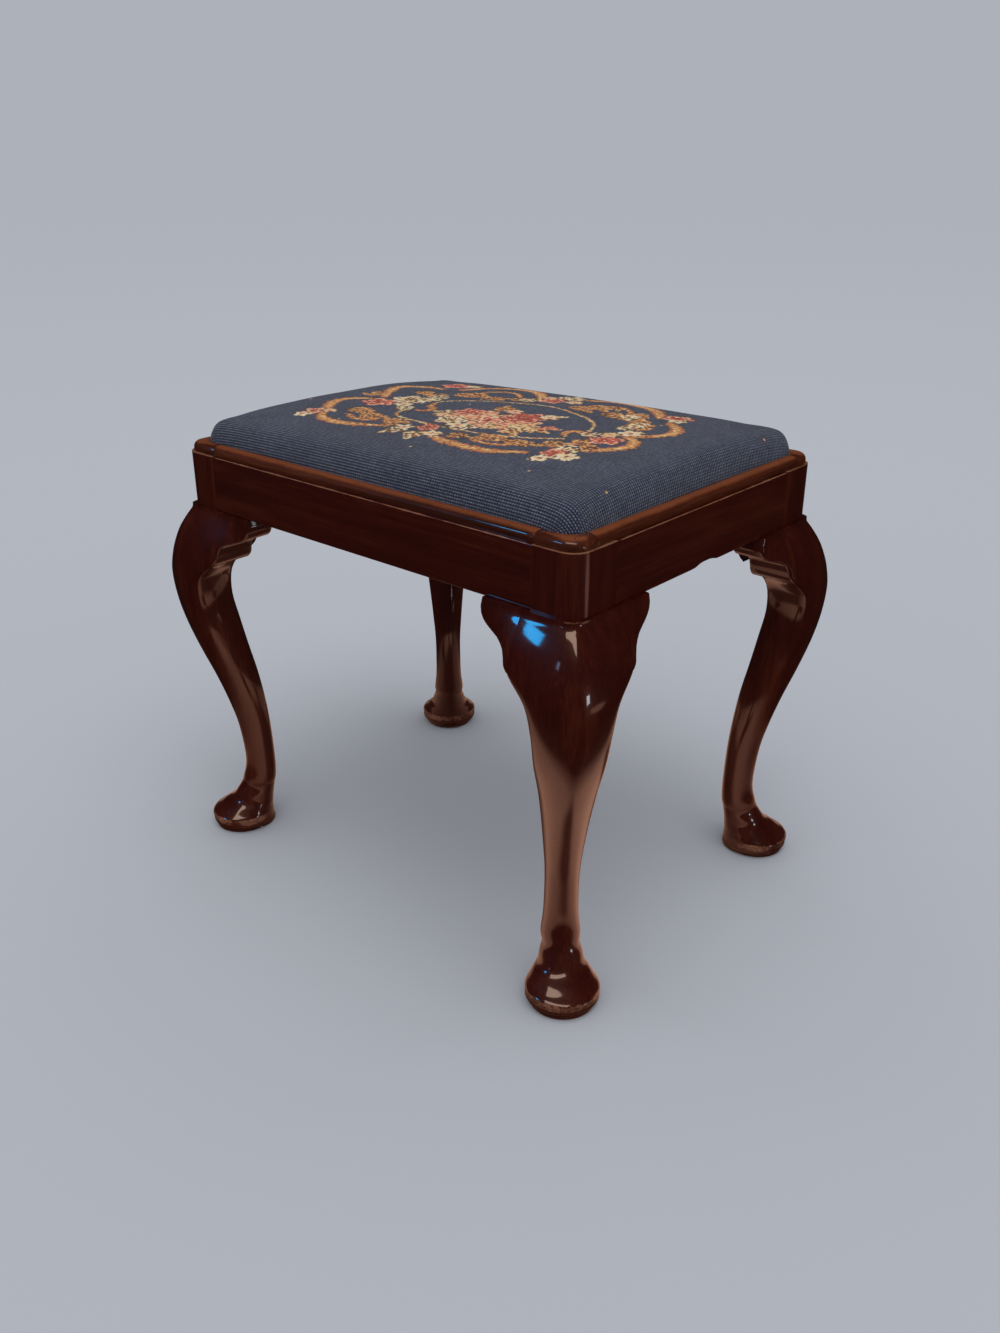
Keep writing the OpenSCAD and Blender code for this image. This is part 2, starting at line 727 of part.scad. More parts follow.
// A ring of the cushion's form, a distance in from the edge, sunk under the surface by the layers above it
function cushion_ring(edge, under) = let(k = 1 - edge / seat_y)
    [for (p = seat_ring(seat_x * k, seat_y * k, seat_r * k))
        [p[0] * (seat_x - under) / seat_x, p[1] * (seat_y - under) / seat_y, cushion_z(p[0], p[1]) - under]];
function flat_ring(in, z) = [for (p = seat_ring(seat_x - in, seat_y - in, max(seat_r - in, 4))) [p[0], p[1], z]];
function side_ring(under, z) = [for (p = cushion_ring(0, under)) [p[0], p[1], z]];
fine_rings = [0, 1.2, 3, 6, 10, 16, 26, 42, 66, 98, 136];
coarse_rings = [0, 3, 10, 16, 26, 42, 66, 98, 136];
function rings_out(edges, under) = [for (k = [len(edges) - 1:-1:0]) cushion_ring(edges[k], under)];
function rings_in(edges, under) = [for (e = edges) cushion_ring(e, under)];

module stuffing() {
    start = 4;
    edges = [for (k = [start:len(coarse_rings) - 1]) coarse_rings[k]];
    color(hair)
        skin(concat(
            [[for (p = cushion_ring(edges[0], board_in)) [p[0], p[1], stuffing_z]]],
            rings_in(edges, board_in)));
}
module calico() {
    color(linen)
        skin(concat(
            rings_out(coarse_rings, calico_in + calico_t),
            [side_ring(calico_in + calico_t, board_z + layer_gap), side_ring(calico_in, board_z + layer_gap)],
            rings_in(coarse_rings, calico_in)));
}
module seat_cover() {
    color(navy)
        difference() {
            skin(concat(
                rings_out(fine_rings, cover_t),
                [side_ring(cover_t, turn_z + cover_t), flat_ring(turn_in, turn_z + cover_t)],
                [flat_ring(turn_in, turn_z), flat_ring(1, turn_z), side_ring(0, turn_z + 1)],
                rings_in(fine_rings, 0)));
            cover_tack_places()
                tack_hole();
        }
}

at_corner(1, -1) leg();  // leg_front_right
at_corner(-1, -1) leg();  // leg_front_left
at_corner(1, 1) leg();  // leg_back_right
at_corner(-1, 1) leg();  // leg_back_left
long_side(-1) rail(rail_long, long_pins, false);  // rail_front
long_side(1) rail(rail_long, long_pins, false);  // rail_back
short_side(1) rail(rail_short, short_pins, true);  // rail_right
short_side(-1) rail(rail_short, short_pins, true);  // rail_left
at_corner(1, -1) knee_block();  // knee_block_front_right_long
at_corner(1, -1) knee_block_short();  // knee_block_front_right_short
at_corner(-1, -1) knee_block();  // knee_block_front_left_long
at_corner(-1, -1) knee_block_short();  // knee_block_front_left_short
at_corner(1, 1) knee_block();  // knee_block_back_right_long
at_corner(1, 1) knee_block_short();  // knee_block_back_right_short
at_corner(-1, 1) knee_block();  // knee_block_back_left_long
at_corner(-1, 1) knee_block_short();  // knee_block_back_left_short
long_side(-1) moulding_strip(rail_long, long_pins);  // moulding_front
long_side(1) moulding_strip(rail_long, long_pins);  // moulding_back
short_side(1) moulding_strip(frame_d - 2 * arm_short, short_pins);  // moulding_right
short_side(-1) moulding_strip(frame_d - 2 * arm_short, short_pins);  // moulding_left
at_corner(1, -1) moulding_corner();  // moulding_corner_front_right
at_corner(-1, -1) moulding_corner();  // moulding_corner_front_left
at_corner(1, 1) moulding_corner();  // moulding_corner_back_right
at_corner(-1, 1) moulding_corner();  // moulding_corner_back_left
moulding_pins();
at_corner(1, -1) brace();  // brace_front_right
at_corner(-1, -1) brace();  // brace_front_left
at_corner(1, 1) brace();  // brace_back_right
at_corner(-1, 1) brace();  // brace_back_left
brace_screws();
seat_board_long(-1);  // seat_frame_front
seat_board_long(1);  // seat_frame_back
seat_board_short(1);  // seat_frame_right
seat_board_short(-1);  // seat_frame_left
seat_dowels();
webbing_long(0);  // webbing_long_front
webbing_long(1);  // webbing_long_middle
webbing_long(2);  // webbing_long_back
webbing_cross(0);  // webbing_cross_outer_left
webbing_cross(1);  // webbing_cross_left
webbing_cross(2);  // webbing_cross_right
webbing_cross(3);  // webbing_cross_outer_right
webbing_tacks();
hessian();
stuffing();
calico();
seat_cover();
cover_tacks();
dust_cloth();
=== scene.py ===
# %% [markdown]
# A stool for a dressing table or a hearth: four curved mahogany legs, a rail
# between each pair, a moulding round the top, and a loose seat that drops in
# between the mouldings and is covered with wool needlework.
# This file dresses the exact CAD model of it. Each step says what the piece is
# on the real stool and how it could be made before it makes it.

# %% Load the CAD model as a fixed frame
import math

import bmesh
import bpy
import numpy as np
from mathutils import Matrix, Vector, kdtree, noise


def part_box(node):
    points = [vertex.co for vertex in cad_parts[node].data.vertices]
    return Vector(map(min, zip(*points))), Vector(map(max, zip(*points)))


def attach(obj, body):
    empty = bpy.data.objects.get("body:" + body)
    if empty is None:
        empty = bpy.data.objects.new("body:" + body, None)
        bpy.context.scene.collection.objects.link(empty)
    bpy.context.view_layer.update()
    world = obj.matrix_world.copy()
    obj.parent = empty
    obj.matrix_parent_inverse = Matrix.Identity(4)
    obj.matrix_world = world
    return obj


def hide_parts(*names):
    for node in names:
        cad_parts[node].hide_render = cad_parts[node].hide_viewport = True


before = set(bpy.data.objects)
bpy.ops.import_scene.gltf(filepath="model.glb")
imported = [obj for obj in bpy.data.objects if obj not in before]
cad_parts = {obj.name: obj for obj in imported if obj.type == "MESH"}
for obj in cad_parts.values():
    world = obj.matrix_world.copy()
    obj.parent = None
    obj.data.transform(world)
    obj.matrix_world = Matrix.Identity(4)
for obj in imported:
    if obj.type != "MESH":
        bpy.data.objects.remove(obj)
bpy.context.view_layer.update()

# %% [markdown]
# The stool is 508 mm long and 380 mm deep. A drawing in millimetres is easy to
# check against a tape measure, and Blender counts in metres, so every size is
# written as a number of millimetres times MM. The nodes of the frame give the
# sizes that the CAD model has already settled, so none is typed twice.

# %% The sizes that everything is set out from
MM = 0.001
ROOT2 = math.sqrt(2)


def node_box(name):
    low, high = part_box(name)
    return np.array(low), np.array(high)


HALF_L, HALF_D = 254 * MM, 190 * MM
RAIL_Z, RAIL_TOP = (corner[2] for corner in node_box("rail_front"))
MOULD_TOP = node_box("moulding_front")[1][2]
RAIL_T = 27 * MM
POST_W, POST_D, CORNER_R = 46 * MM, 53 * MM, 18 * MM
print("rails stand from", round(RAIL_Z, 4), "to", round(RAIL_TOP, 4), "and the moulding to", round(MOULD_TOP, 4))

# %% [markdown]
# The camera stands where the photograph's camera stood: a little above the
# stool, looking down at its near corner. It was found by laying the outlines
# of the CAD model over the photograph until the corners met, so here it only
# has to be written down as a place, two angles and a lens.

# %% Camera
CAMERA_AT = Vector((0.7697, -0.8663, 0.7369))
HEADING, PITCH, ROLL = math.radians(131.312), math.radians(24.514), math.radians(-0.048)
scene = bpy.context.scene


def aimed(data, name, place, way, roll=0.0):
    """Puts a camera or a lamp in the scene at a place, looking along a way."""
    holder = bpy.data.objects.new(name, data)
    scene.collection.objects.link(holder)
    turn = way.to_track_quat("-Z", "Y").to_matrix().to_4x4() @ Matrix.Rotation(roll, 4, "Z")
    holder.matrix_world = Matrix.Translation(place) @ turn
    return holder


looking = Vector((math.cos(PITCH) * math.cos(HEADING), math.cos(PITCH) * math.sin(HEADING), -math.sin(PITCH)))
camera = aimed(bpy.data.cameras.new("camera"), "camera", CAMERA_AT, looking, ROLL)
camera.data.lens, camera.data.sensor_width, camera.data.clip_end = 31.65, 36, 50
scene.camera = camera
print("camera looks along", [round(c, 3) for c in looking])

# %% [markdown]
# Most pieces are shaped the way one works by hand in edit mode: take a
# primitive, choose some of its faces or edges, and run an operator on them.
# A script can't click, so it chooses by place: pick() goes through the faces,
# edges or corners and selects those for which a test is true.

# %% Helpers for working in edit mode


def deselect_all():
    if bpy.context.mode != "OBJECT":
        bpy.ops.object.mode_set(mode="OBJECT")
    bpy.ops.object.select_all(action="DESELECT")


def take(piece, edit=False):
    """Selects one piece alone, and goes into edit mode on it if asked."""
    deselect_all()
    piece.select_set(True)
    bpy.context.view_layer.objects.active = piece
    if edit:
        bpy.ops.object.mode_set(mode="EDIT")


def start(add, name, **options):
    """Adds a primitive, names it and goes into edit mode with nothing selected."""
    deselect_all()
    add(**options)
    piece = bpy.context.active_object
    piece.name = piece.data.name = name
    bpy.ops.object.transform_apply(location=True, rotation=True, scale=True)
    bpy.ops.object.mode_set(mode="EDIT")
    bpy.ops.mesh.select_all(action="DESELECT")
    return piece


def scale(x, y, z, about):
    bpy.ops.transform.resize(value=(x, y, z), center_override=tuple(about))


def extrude(x=0, y=0, z=0):
    bpy.ops.mesh.extrude_region_move(TRANSFORM_OT_translate={"value": (x, y, z)})


def block(name, low, high):
    """A cuboid between two corners, in edit mode."""
    low, high = np.array(low, float), np.array(high, float)
    piece = start(bpy.ops.mesh.primitive_cube_add, name, size=1, location=(low + high) / 2)
    bpy.ops.mesh.select_all(action="SELECT")
    scale(*(high - low), (low + high) / 2)
    bpy.ops.mesh.select_all(action="DESELECT")
    return piece


def pick(piece, kind, test):
    """Selects the verts, edges or faces of a piece in edit mode for which test is true."""
    bpy.ops.mesh.select_mode(type={"verts": "VERT", "edges": "EDGE", "faces": "FACE"}[kind])
    bpy.ops.mesh.select_all(action="DESELECT")
    mesh = bmesh.from_edit_mesh(piece.data)
    chosen = [part for part in getattr(mesh, kind) if test(part)]
    for part in chosen:
        part.select_set(True)
    mesh.select_flush_mode()
    bmesh.update_edit_mesh(piece.data)
    return len(chosen)


def along(axis):
    """A test for edges that run along one axis."""
    return lambda e: abs((e.verts[0].co - e.verts[1].co).normalized()[axis]) > 0.99


def on(axis, value, reach=0.02 * MM):
    """A test for edges or faces that lie in a plane across one axis."""
    return lambda part: all(abs(v.co[axis] - value) < reach for v in part.verts)


def steep(e):
    """A test for edges at which two faces turn by more than 60 degrees."""
    return len(e.link_faces) == 2 and e.calc_face_angle() > math.radians(60)


def bevel(piece, test, offset, segments):
    pick(piece, "edges", test)
    bpy.ops.mesh.bevel(offset=offset, segments=segments)


def divide(piece, test, cuts):
    pick(piece, "edges", test)
    bpy.ops.mesh.subdivide(number_cuts=cuts)


def reshape(piece, place):
    """In edit mode, moves each corner to the place that a function gives for it."""
    mesh = bmesh.from_edit_mesh(piece.data)
    for v in mesh.verts:
        v.co = place(v)
    bmesh.update_edit_mesh(piece.data)


def close_up(piece):
    """Merges doubles, turns the faces outward and leaves edit mode."""
    bpy.ops.mesh.select_all(action="SELECT")
    bpy.ops.mesh.remove_doubles(threshold=0.01 * MM)
    bpy.ops.mesh.normals_make_consistent(inside=False)
    deselect_all()
    return piece


def smooth(piece, angle=35):
    take(piece)
    bpy.ops.object.shade_smooth_by_angle(angle=math.radians(angle))
    return piece


def apply_modifier(piece, kind, **settings):
    modifier = piece.modifiers.new(kind.lower(), kind)
    for name, value in settings.items():
        setattr(modifier, name, value)
    take(piece)
    bpy.ops.object.modifier_apply(modifier=modifier.name)


def copy_mirrored(piece, name, side_x=1, side_y=1):
    """A copy with its own mesh, on another side of the stool where a side is -1."""
    take(piece)
    bpy.ops.object.duplicate(linked=False)
    copy = bpy.context.active_object
    copy.name = copy.data.name = name
    bpy.ops.object.mode_set(mode="EDIT")
    bpy.ops.mesh.select_all(action="SELECT")
    scale(side_x, side_y, 1, (0, 0, 0))
    if side_x != side_y:
        bpy.ops.mesh.flip_normals()
    deselect_all()
    return copy


def points_of(piece, field="co"):
    co = np.zeros(len(piece.data.vertices) * 3, np.float32)
    piece.data.vertices.foreach_get(field, co)
    return co.reshape(-1, 3).astype(float)


def place_points(piece, points):
    piece.data.vertices.foreach_set("co", np.asarray(points, np.float32).ravel())
    piece.data.update()


print("edit helpers ready")

# %% [markdown]
# Two things about a piece of old wood can't be read from its place alone: the
# way its grain runs, and how close a spot lies to an arris, where hands and
# dusters rub the polish away. Both are written on the mesh as attributes, and
# the material reads them. Arris lines are noted while the edges are still
# sharp, before a bevel rounds them over.

# %% Helpers that write the grain and the wear on a mesh
ARRIS_REACH, BRIGHT_REACH, WORN_THROUGH = 8 * MM, 0.6 * MM, 1.15
GRAIN_STEP, GRAIN_WAY = 0.37, np.array([1.0, 0.6, 2.3])
grain_shift = [0.0]


def arris_lines(piece, angle=30):
    """Points a millimetre apart along the convex sharp edges of a piece."""
    mesh = bmesh.new()
    mesh.from_mesh(piece.data)
    found = []
    for e in mesh.edges:
        if len(e.link_faces) == 2 and e.calc_face_angle_signed(0) > math.radians(angle):
            steps = max(2, int(e.calc_length() / MM) + 1)
            a, b = e.verts[0].co, e.verts[1].co
            found += [a.lerp(b, i / (steps - 1)) for i in range(steps)]
    mesh.free()
    return found


def on_side(points, side_x, side_y):
    """Points of the front right part of the stool, as they lie on another side."""
    return [Vector((side_x * p[0], side_y * p[1], p[2])) for p in points]


def write_values(piece, name, kind, values):
    attribute = piece.data.attributes.get(name) or piece.data.attributes.new(name, kind, "POINT")
    field = "vector" if kind == "FLOAT_VECTOR" else "value"
    attribute.data.foreach_set(field, np.asarray(values, np.float32).ravel())


def write_wear(piece, lines, bright=()):
    """The attribute rub is 1 on an arris and fades to 0 beside it; on a bright one it is worn right through."""

    def distance_to(places):
        tree = kdtree.KDTree(len(places))
        for i, point in enumerate(places):
            tree.insert(point, i)
        tree.balance()
        return np.array([tree.find(v.co)[2] for v in piece.data.vertices])

    rub = np.maximum(1 - distance_to(lines) / ARRIS_REACH, 0)
    if len(bright):
        rub[distance_to(bright) < BRIGHT_REACH] = WORN_THROUGH
    write_values(piece, "rub", "FLOAT", rub)


def write_grain(piece, axis):
    """The attribute grain is the place in the plank that the piece was sawn from, its length along z."""
    grain_shift[0] += GRAIN_STEP
    order = {"x": (1, 2, 0), "y": (0, 2, 1), "z": (0, 1, 2)}[axis]
    write_values(piece, "grain", "FLOAT_VECTOR", points_of(piece)[:, order] + grain_shift[0] * GRAIN_WAY)


def dress(piece, material, body, slot, *nodes):
    """Gives a finished piece its material and its body, and hides the CAD nodes that it stands for; slot is not used.
    """
    piece.data.materials.clear()
    piece.data.materials.append(material)
    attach(piece, body)
    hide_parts(*nodes)
    print(piece.name, len(piece.data.polygons), "faces")


print("wear and grain helpers ready")

# %% [markdown]
# A material is a small machine of nodes. Wiring it in code is easier to read
# with helpers that add a node, set its values and join its inputs, so that a
# line of code says what a line of the drawing would. A Wire is what comes out
# of a node, and sums with wires add the nodes that work them out.

# %% Helpers for nodes
drawing = {}


class Wire:
    """One output of a node; wire["Name"] is another output of the same node."""

    def __init__(self, made, out=0):
        self.made, self.socket = made, made.outputs[out]

    def __getitem__(self, out):
        return Wire(self.made, out)

    def __add__(self, other):
        return maths("ADD", self, other)

    def __sub__(self, other):
        return maths("SUBTRACT", self, other)

    def __rsub__(self, other):
        return maths("SUBTRACT", other, self)

    def __mul__(self, other):
        return maths("MULTIPLY", self, other)

    def __rtruediv__(self, other):
        return maths("DIVIDE", other, self)

    def __pow__(self, other):
        return maths("POWER", self, other)

    def __abs__(self):
        return maths("ABSOLUTE", self)


def feed(made, inputs):
    """Joins wires to a node's inputs, or sets them to values; each input is named or numbered."""
    for name, value in inputs.items():
        socket = made.inputs[name]
        if isinstance(value, Wire):
            drawing["tree"].links.new(value.socket, socket)
        else:
            socket.default_value = (*value, 1) if socket.type == "RGBA" else value


def node(kind, inputs=(), out=0, **settings):
    """Adds a node to the tree that is being drawn."""
    made = drawing["tree"].nodes.new("ShaderNode" + kind)
    for name, value in settings.items():
        setattr(made, name, value)
    feed(made, dict(inputs))
    return Wire(made, out)


def maths(operation, *terms):
    return node("Math", enumerate(terms), operation=operation)


def vector(operation, *terms, out="Vector"):
    return node("VectorMath", enumerate(terms), out, operation=operation)


def mapped(value, low, high, first=0.0, last=1.0):
    """Turns the range from low to high into the range from first to last, and stops at its ends."""
    return node("MapRange", {0: value, 1: low, 2: high, 3: first, 4: last})


def stretched(place, *sizes):
    return node("Mapping", {"Vector": place, "Scale": sizes})


def turned_place(place, *angles):
    return node("Mapping", {"Vector": place, "Rotation": tuple(math.radians(a) for a in angles)})


def cloud(place, size, detail, roughness=0.5, distortion=0.0):
    """Noise between 0 and 1."""
    inputs = {"Vector": place, "Scale": size, "Detail": detail, "Roughness": roughness, "Distortion": distortion}
    return node("TexNoise", inputs, "Fac")


def ramp(fac, *stops):
    """A colour ramp; each stop is a place and a colour, or a place and a grey."""
    made = node("ValToRGB", {"Fac": fac}, "Color")
    slots = made.made.color_ramp.elements
    while len(slots) < len(stops):
        slots.new(0.5)
    for element, (place, colour) in zip(slots, stops):
        element.position = place
        element.color = (*(colour if isinstance(colour, tuple) else (colour,) * 3), 1)
    return made


def mix_colour(fac, a, b, blend="MIX"):
    return node("Mix", {0: fac, 6: a, 7: b}, 2, data_type="RGBA", blend_type=blend)


def attribute(name, out):
    return node("Attribute", out=out, attribute_name=name)


def relief(strength, distance, height):
    """The bump that a height makes."""
    return node("Bump", {"Strength": strength, "Distance": distance, "Height": height})


def group(name, inputs, outputs):
    """Starts a node group. An input's value tells its kind: a number, a colour, or None for a vector."""
    tree = drawing["tree"] = bpy.data.node_groups.new(name, "ShaderNodeTree")
    kinds = {type(None): "Vector", tuple: "Color", float: "Float"}
    for label, value in inputs.items():
        kind = "NodeSocket" + kinds[type(value)]
        socket = tree.interface.new_socket(name=label, in_out="INPUT", socket_type=kind)
        if value is not None:
            socket.default_value = (*value, 1) if kind == "NodeSocketColor" else value
    for label in outputs:
        kind = "NodeSocketColor" if label == "Colour" else "NodeSocketFloat"
        tree.interface.new_socket(name=label, in_out="OUTPUT", socket_type=kind)
    return tree, Wire(tree.nodes.new("NodeGroupInput")), tree.nodes.new("NodeGroupOutput")


def new_material(name):
    """Starts a material and returns it with its Principled shader."""
    made = bpy.data.materials.new(name)
    made.use_nodes = True
    drawing["tree"] = made.node_tree
    return made, made.node_tree.nodes["Principled BSDF"]


print("node helpers ready")

# %% [markdown]
# A studio for a small piece of furniture is pale grey paper on the floor and a
# soft light that comes from all sides. Here the paper is a plane so wide that
# its edge is far off, and the world has the same grey where the camera looks
# past it, so no line shows where the floor ends. The lamp above makes a pool
# of light on it, so the paper is painted darker there by the same law and
# shows even. In the polish the room is dark, as in a room with a few bright
# windows: a pale room on every side would lay a grey veil over wood as deep
# as this. Only round the feet does the paper glow, and only in the polish. It
# is a painted glow that lights nothing, with painted shade where the stool and
# the feet stand over it and painted light near the near leg, and a second
# glowing patch lies to the right. The shanks lean over that glow, so it draws
# painted reflections, long pale bands, down them, and the knees above, which
# look out past its edge, stay dark.

# %% Floor and world
PAPER_SHOWS = (0.418, 0.440, 0.491)
FAR_IN_POLISH, GLOW_IN_POLISH = (0.020, 0.009, 0.007), (1.40, 0.69, 0.46)
GLOW_EDGE, GLOW_PATCH_AT, GLOW_PATCH_EDGE = (0.41, 0.49), (1.25, 0.36, 0.0), (0.16, 0.26)
ROOM_LIGHT, ROOM_IN_POLISH = 0.78, (0.016, 0.009, 0.008)
POOL_AT, POOL_HEIGHT, POOL_LIGHT = (0.9, -0.6, 0.0), 4.0, 0.25
NEAR_LEG, FEET = (0.3, -0.25, 0.0), (1.03, 1.05, 0.0)

paper = start(bpy.ops.mesh.primitive_plane_add, "paper", size=120)
bpy.ops.mesh.select_all(action="SELECT")
bpy.ops.mesh.subdivide(number_cuts=3)
close_up(paper)

paper_look, shader = new_material("studio_paper")
spot = node("NewGeometry", out="Position")
far = vector("DISTANCE", spot, POOL_AT, out="Value")
spread = maths("MULTIPLY_ADD", far, maths("DIVIDE", far, POOL_HEIGHT**2), 1.0)
evened = 1.0 / (POOL_LIGHT / (spread * spread) + ROOM_LIGHT)
dyed = mix_colour(1.0, PAPER_SHOWS, evened, "MULTIPLY")
in_polish = node("LightPath", out="Is Glossy Ray")

# painted shade and light in the glow: it dims under the stool, close to each foot and away from the near leg
in_glow = mapped(vector("LENGTH", spot, out="Value"), *GLOW_EDGE, 1.0, 0.0)
in_glow_patch = mapped(vector("DISTANCE", spot, GLOW_PATCH_AT, out="Value"), *GLOW_PATCH_EDGE, 1.0, 0.0)
sides = node("SeparateXYZ", {0: vector("ABSOLUTE", vector("MULTIPLY", spot, (1 / HALF_L, 1 / HALF_D, 0.0)))})
painted_shade_of_stool = mapped(maths("MAXIMUM", sides[0], sides[1]), 0.65, 1.1, 0.10, 1.0)
corner = node("CombineXYZ", {0: sides[0], 1: sides[1]})
painted_shade_of_feet = mapped(vector("DISTANCE", corner, FEET, out="Value"), 0.22, 0.42, 0.12, 1.0)
painted_light_by_near_leg = mapped(vector("DISTANCE", spot, NEAR_LEG, out="Value"), 0.22, 0.55, 1.0, 0.42)
pale = maths("MAXIMUM", in_glow * (painted_shade_of_stool * (painted_shade_of_feet * painted_light_by_near_leg)), in_glow_patch)
# for glossy rays the paper is black and glows instead: a painted glow, seen only as painted reflections in the polish
feed(shader, {
    "Base Color": mix_colour(in_polish, dyed, (0.0, 0.0, 0.0)), "Roughness": 1.0, "Specular IOR Level": 0.0,
    "Emission Color": mix_colour(pale, FAR_IN_POLISH, GLOW_IN_POLISH), "Emission Strength": in_polish,
})
paper_look.cycles.emission_sampling = "NONE"
paper.data.materials.append(paper_look)

world = scene.world = bpy.data.worlds.new("room")
world.use_nodes = True
drawing["tree"] = world.node_tree
room = world.node_tree.nodes["Background"]
feed(room, {"Color": (ROOM_LIGHT,) * 3})
path = node("LightPath")
seen = maths("MAXIMUM", path["Is Camera Ray"], path["Is Transmission Ray"])
lit = node("MixShader", {0: path["Is Glossy Ray"], 1: Wire(room), 2: node("Background", {"Color": ROOM_IN_POLISH})})
shown = node("MixShader", {0: seen, 1: lit, 2: node("Background", {"Color": PAPER_SHOWS})})
feed(world.node_tree.nodes["World Output"], {"Surface": shown})
scene.view_settings.view_transform = "Standard"
print("paper reaches", round(max(v.co.x for v in paper.data.vertices)), "m")

# %% [markdown]
# French polish is a mirror, so what a leg looks like is mostly what stands
# round it: a blue window to the left leaves a patch on the knee and a streak on
# the moulding, and a warm lamp over the camera the cream one under the post and
# on the foot. Those are seen in the polish and light nothing; the broad
# lamp above gives the light.

# %% Lamps
WARM, DAY, COOL = (1.0, 0.70, 0.54), (1.0, 0.98, 0.96), (0.85, 0.92, 1.0)
HAZY, BLUISH = (0.5, 0.6, 1.0), (0.02, 0.44, 1.0)
for name, place, target, width, height, watts, colour in [
    ("window", (-1.72, -2.48, 1.80), (0.23, -0.2, 0.37), 0.50, 0.34, 12, BLUISH),
    ("window_far", (-0.85, -3.2, 1.25), (0.25, -0.2, 0.36), 0.14, 0.35, 0.7, HAZY),
    ("lamp_over_camera", (0.84, -1.85, 2.82), (0.25, -0.19, 0.37), 3.2, 0.9, 66, WARM),
    ("window_low", (1.73, 0.16, 0.16), (0.276, -0.2, 0.33), 0.22, 0.16, 1.2, COOL),
    ("lamp_above", (0.9, -0.6, 4.0), (0, 0, 0.3), 3.0, 3.0, 60, DAY),
]:
    light = bpy.data.lights.new(name, "AREA")
    light.shape = "RECTANGLE"
    light.size, light.size_y, light.energy, light.color = width, height, watts, colour
    lamp = aimed(light, name, Vector(place), Vector(target) - Vector(place))
    lamp.visible_diffuse = name == "lamp_above"
    lamp.visible_glossy = not lamp.visible_diffuse

# %% [markdown]
# Mahogany has long, nearly straight grain: dark streaks that run with the
# plank, a slow ripple of lighter figure, and short dark pores. All of it is
# noise stretched along z, the length of the plank. The group puts out the
# colour and a height, so that each wood can use it with its own colours.

# %% Node group: wood grain
grain_group, g_in, g_out = group("wood_grain", {
    "Plank": None, "Dark": (0.02, 0.004, 0.002), "Middle": (0.05, 0.012, 0.006), "Light": (0.16, 0.05, 0.02),
    "Streaks": 0.5, "Pores": 0.5,
}, ["Colour", "Height", "Figure"])
plank, dark = g_in["Plank"], g_in["Dark"]
slow = cloud(stretched(plank, 55, 55, 2.6), 1.0, 5.0, 0.55, 0.4)
broad = cloud(stretched(plank, 14, 14, 3.2), 1.0, 3.0, 0.5, 0.8)
fine = cloud(stretched(plank, 420, 420, 16), 1.0, 2.0, 0.6)
pore = ramp(cloud(stretched(plank, 900, 900, 55), 1.0, 1.0), (0.60, 0.0), (0.70, 1.0)) * g_in["Pores"]
contrast = maths("MULTIPLY_ADD", g_in["Streaks"], 3.0, 0.6)
streaked = maths("MULTIPLY_ADD", slow * 0.62 + broad * 0.38 - 0.5, contrast, 0.5)
figured = streaked + (fine - 0.5) * 0.45
deep = mix_colour(mapped(figured, 0.15, 0.52), dark, g_in["Middle"])
coloured = mix_colour(mapped(figured, 0.52, 0.95), deep, g_in["Light"])
feed(g_out, {"Colour": mix_colour(pore, coloured, dark), "Height": fine * 0.25 - pore, "Figure": figured})
print("wood_grain has", len(grain_group.nodes), "nodes")

# %% [markdown]
# Where dusters, knees and shoes rub, polish wears thin and the bare orange of
# the wood shows through, in patches that follow the arris but never evenly.
# The group turns the fading value written on the mesh into such a broken mask,
# and into small dents and scratches. On the mouldings that value fades down
# from the top, so the same mask also paints their tops lighter, as lit from
# above: partly wear, partly painted light.

# %% Node group: rubbed edges
rub_group, g_in, g_out = group("rubbed_edges", {
    "Rub": 0.0, "Plank": None, "Width": 0.5, "Broken": 0.6, "Soft": 0.16,
}, ["Mask", "Dents", "Smears"])
plank, broken = g_in["Plank"], g_in["Broken"]
patches, specks = cloud(plank, 38.0, 4.0, 0.6), cloud(plank, 420.0, 3.0, 0.65)
reach = g_in["Rub"] + (patches - 0.5) * broken + (specks - 0.5) * (broken * 0.5)
edge_at = 1.0 - g_in["Width"]
dents = node("TexVoronoi", {"Vector": plank, "Scale": 70.0, "Randomness": 1.0}, "Distance")
feed(g_out, {
    "Mask": mapped(reach, edge_at, edge_at + g_in["Soft"]),
    "Dents": ramp(dents, (0.0, 0.0), (0.10, 1.0)),
    "Smears": cloud(stretched(plank, 9, 9, 5), 1.0, 5.0, 0.6, 1.2),
})
print("rubbed_edges has", len(rub_group.nodes), "nodes")

# %% [markdown]
# Old polished mahogany is almost black-red in the shade and orange where the
# polish is thin. The wood under the polish is rough and the polish over it is
# smooth, which is what the coat of the Principled shader is for: a clear skin
# with its own gloss over a duller base.

# %% Material: polished mahogany


def polished_wood(name, dark, middle, light, bare, streaks, pores, wear, coat):
    """Wood with its colours, under a skin of polish; wear is how far it reaches, how broken and how soft it is."""
    made, shader = new_material(name)
    plank, (width, broken, soft) = attribute("grain", "Vector"), wear
    look = {"Plank": plank, "Dark": dark, "Middle": middle, "Light": light, "Streaks": streaks, "Pores": pores}
    wood = node("Group", look, node_tree=grain_group)
    look = {"Rub": attribute("rub", "Fac"), "Plank": plank, "Width": width, "Broken": broken, "Soft": soft}
    worn = node("Group", look, node_tree=rub_group)
    dull = maths("MULTIPLY_ADD", worn["Smears"], 0.22, 0.26)
    height = wood["Height"] * 0.35 + (worn["Dents"] * 0.5 + worn["Smears"] * 1.6)
    feed(shader, {
        "Base Color": mix_colour(worn["Mask"] * 0.85, wood["Colour"], bare),
        "Roughness": maths("MULTIPLY_ADD", worn["Mask"], 0.18, dull),
        "Specular IOR Level": 0.1,
        "Coat Weight": maths("MULTIPLY_ADD", worn["Mask"], -0.6 * coat, coat),
        "Coat Roughness": 0.075, "Coat IOR": 1.5,
        "Normal": relief(0.35, 0.00035, height),
    })
    return made


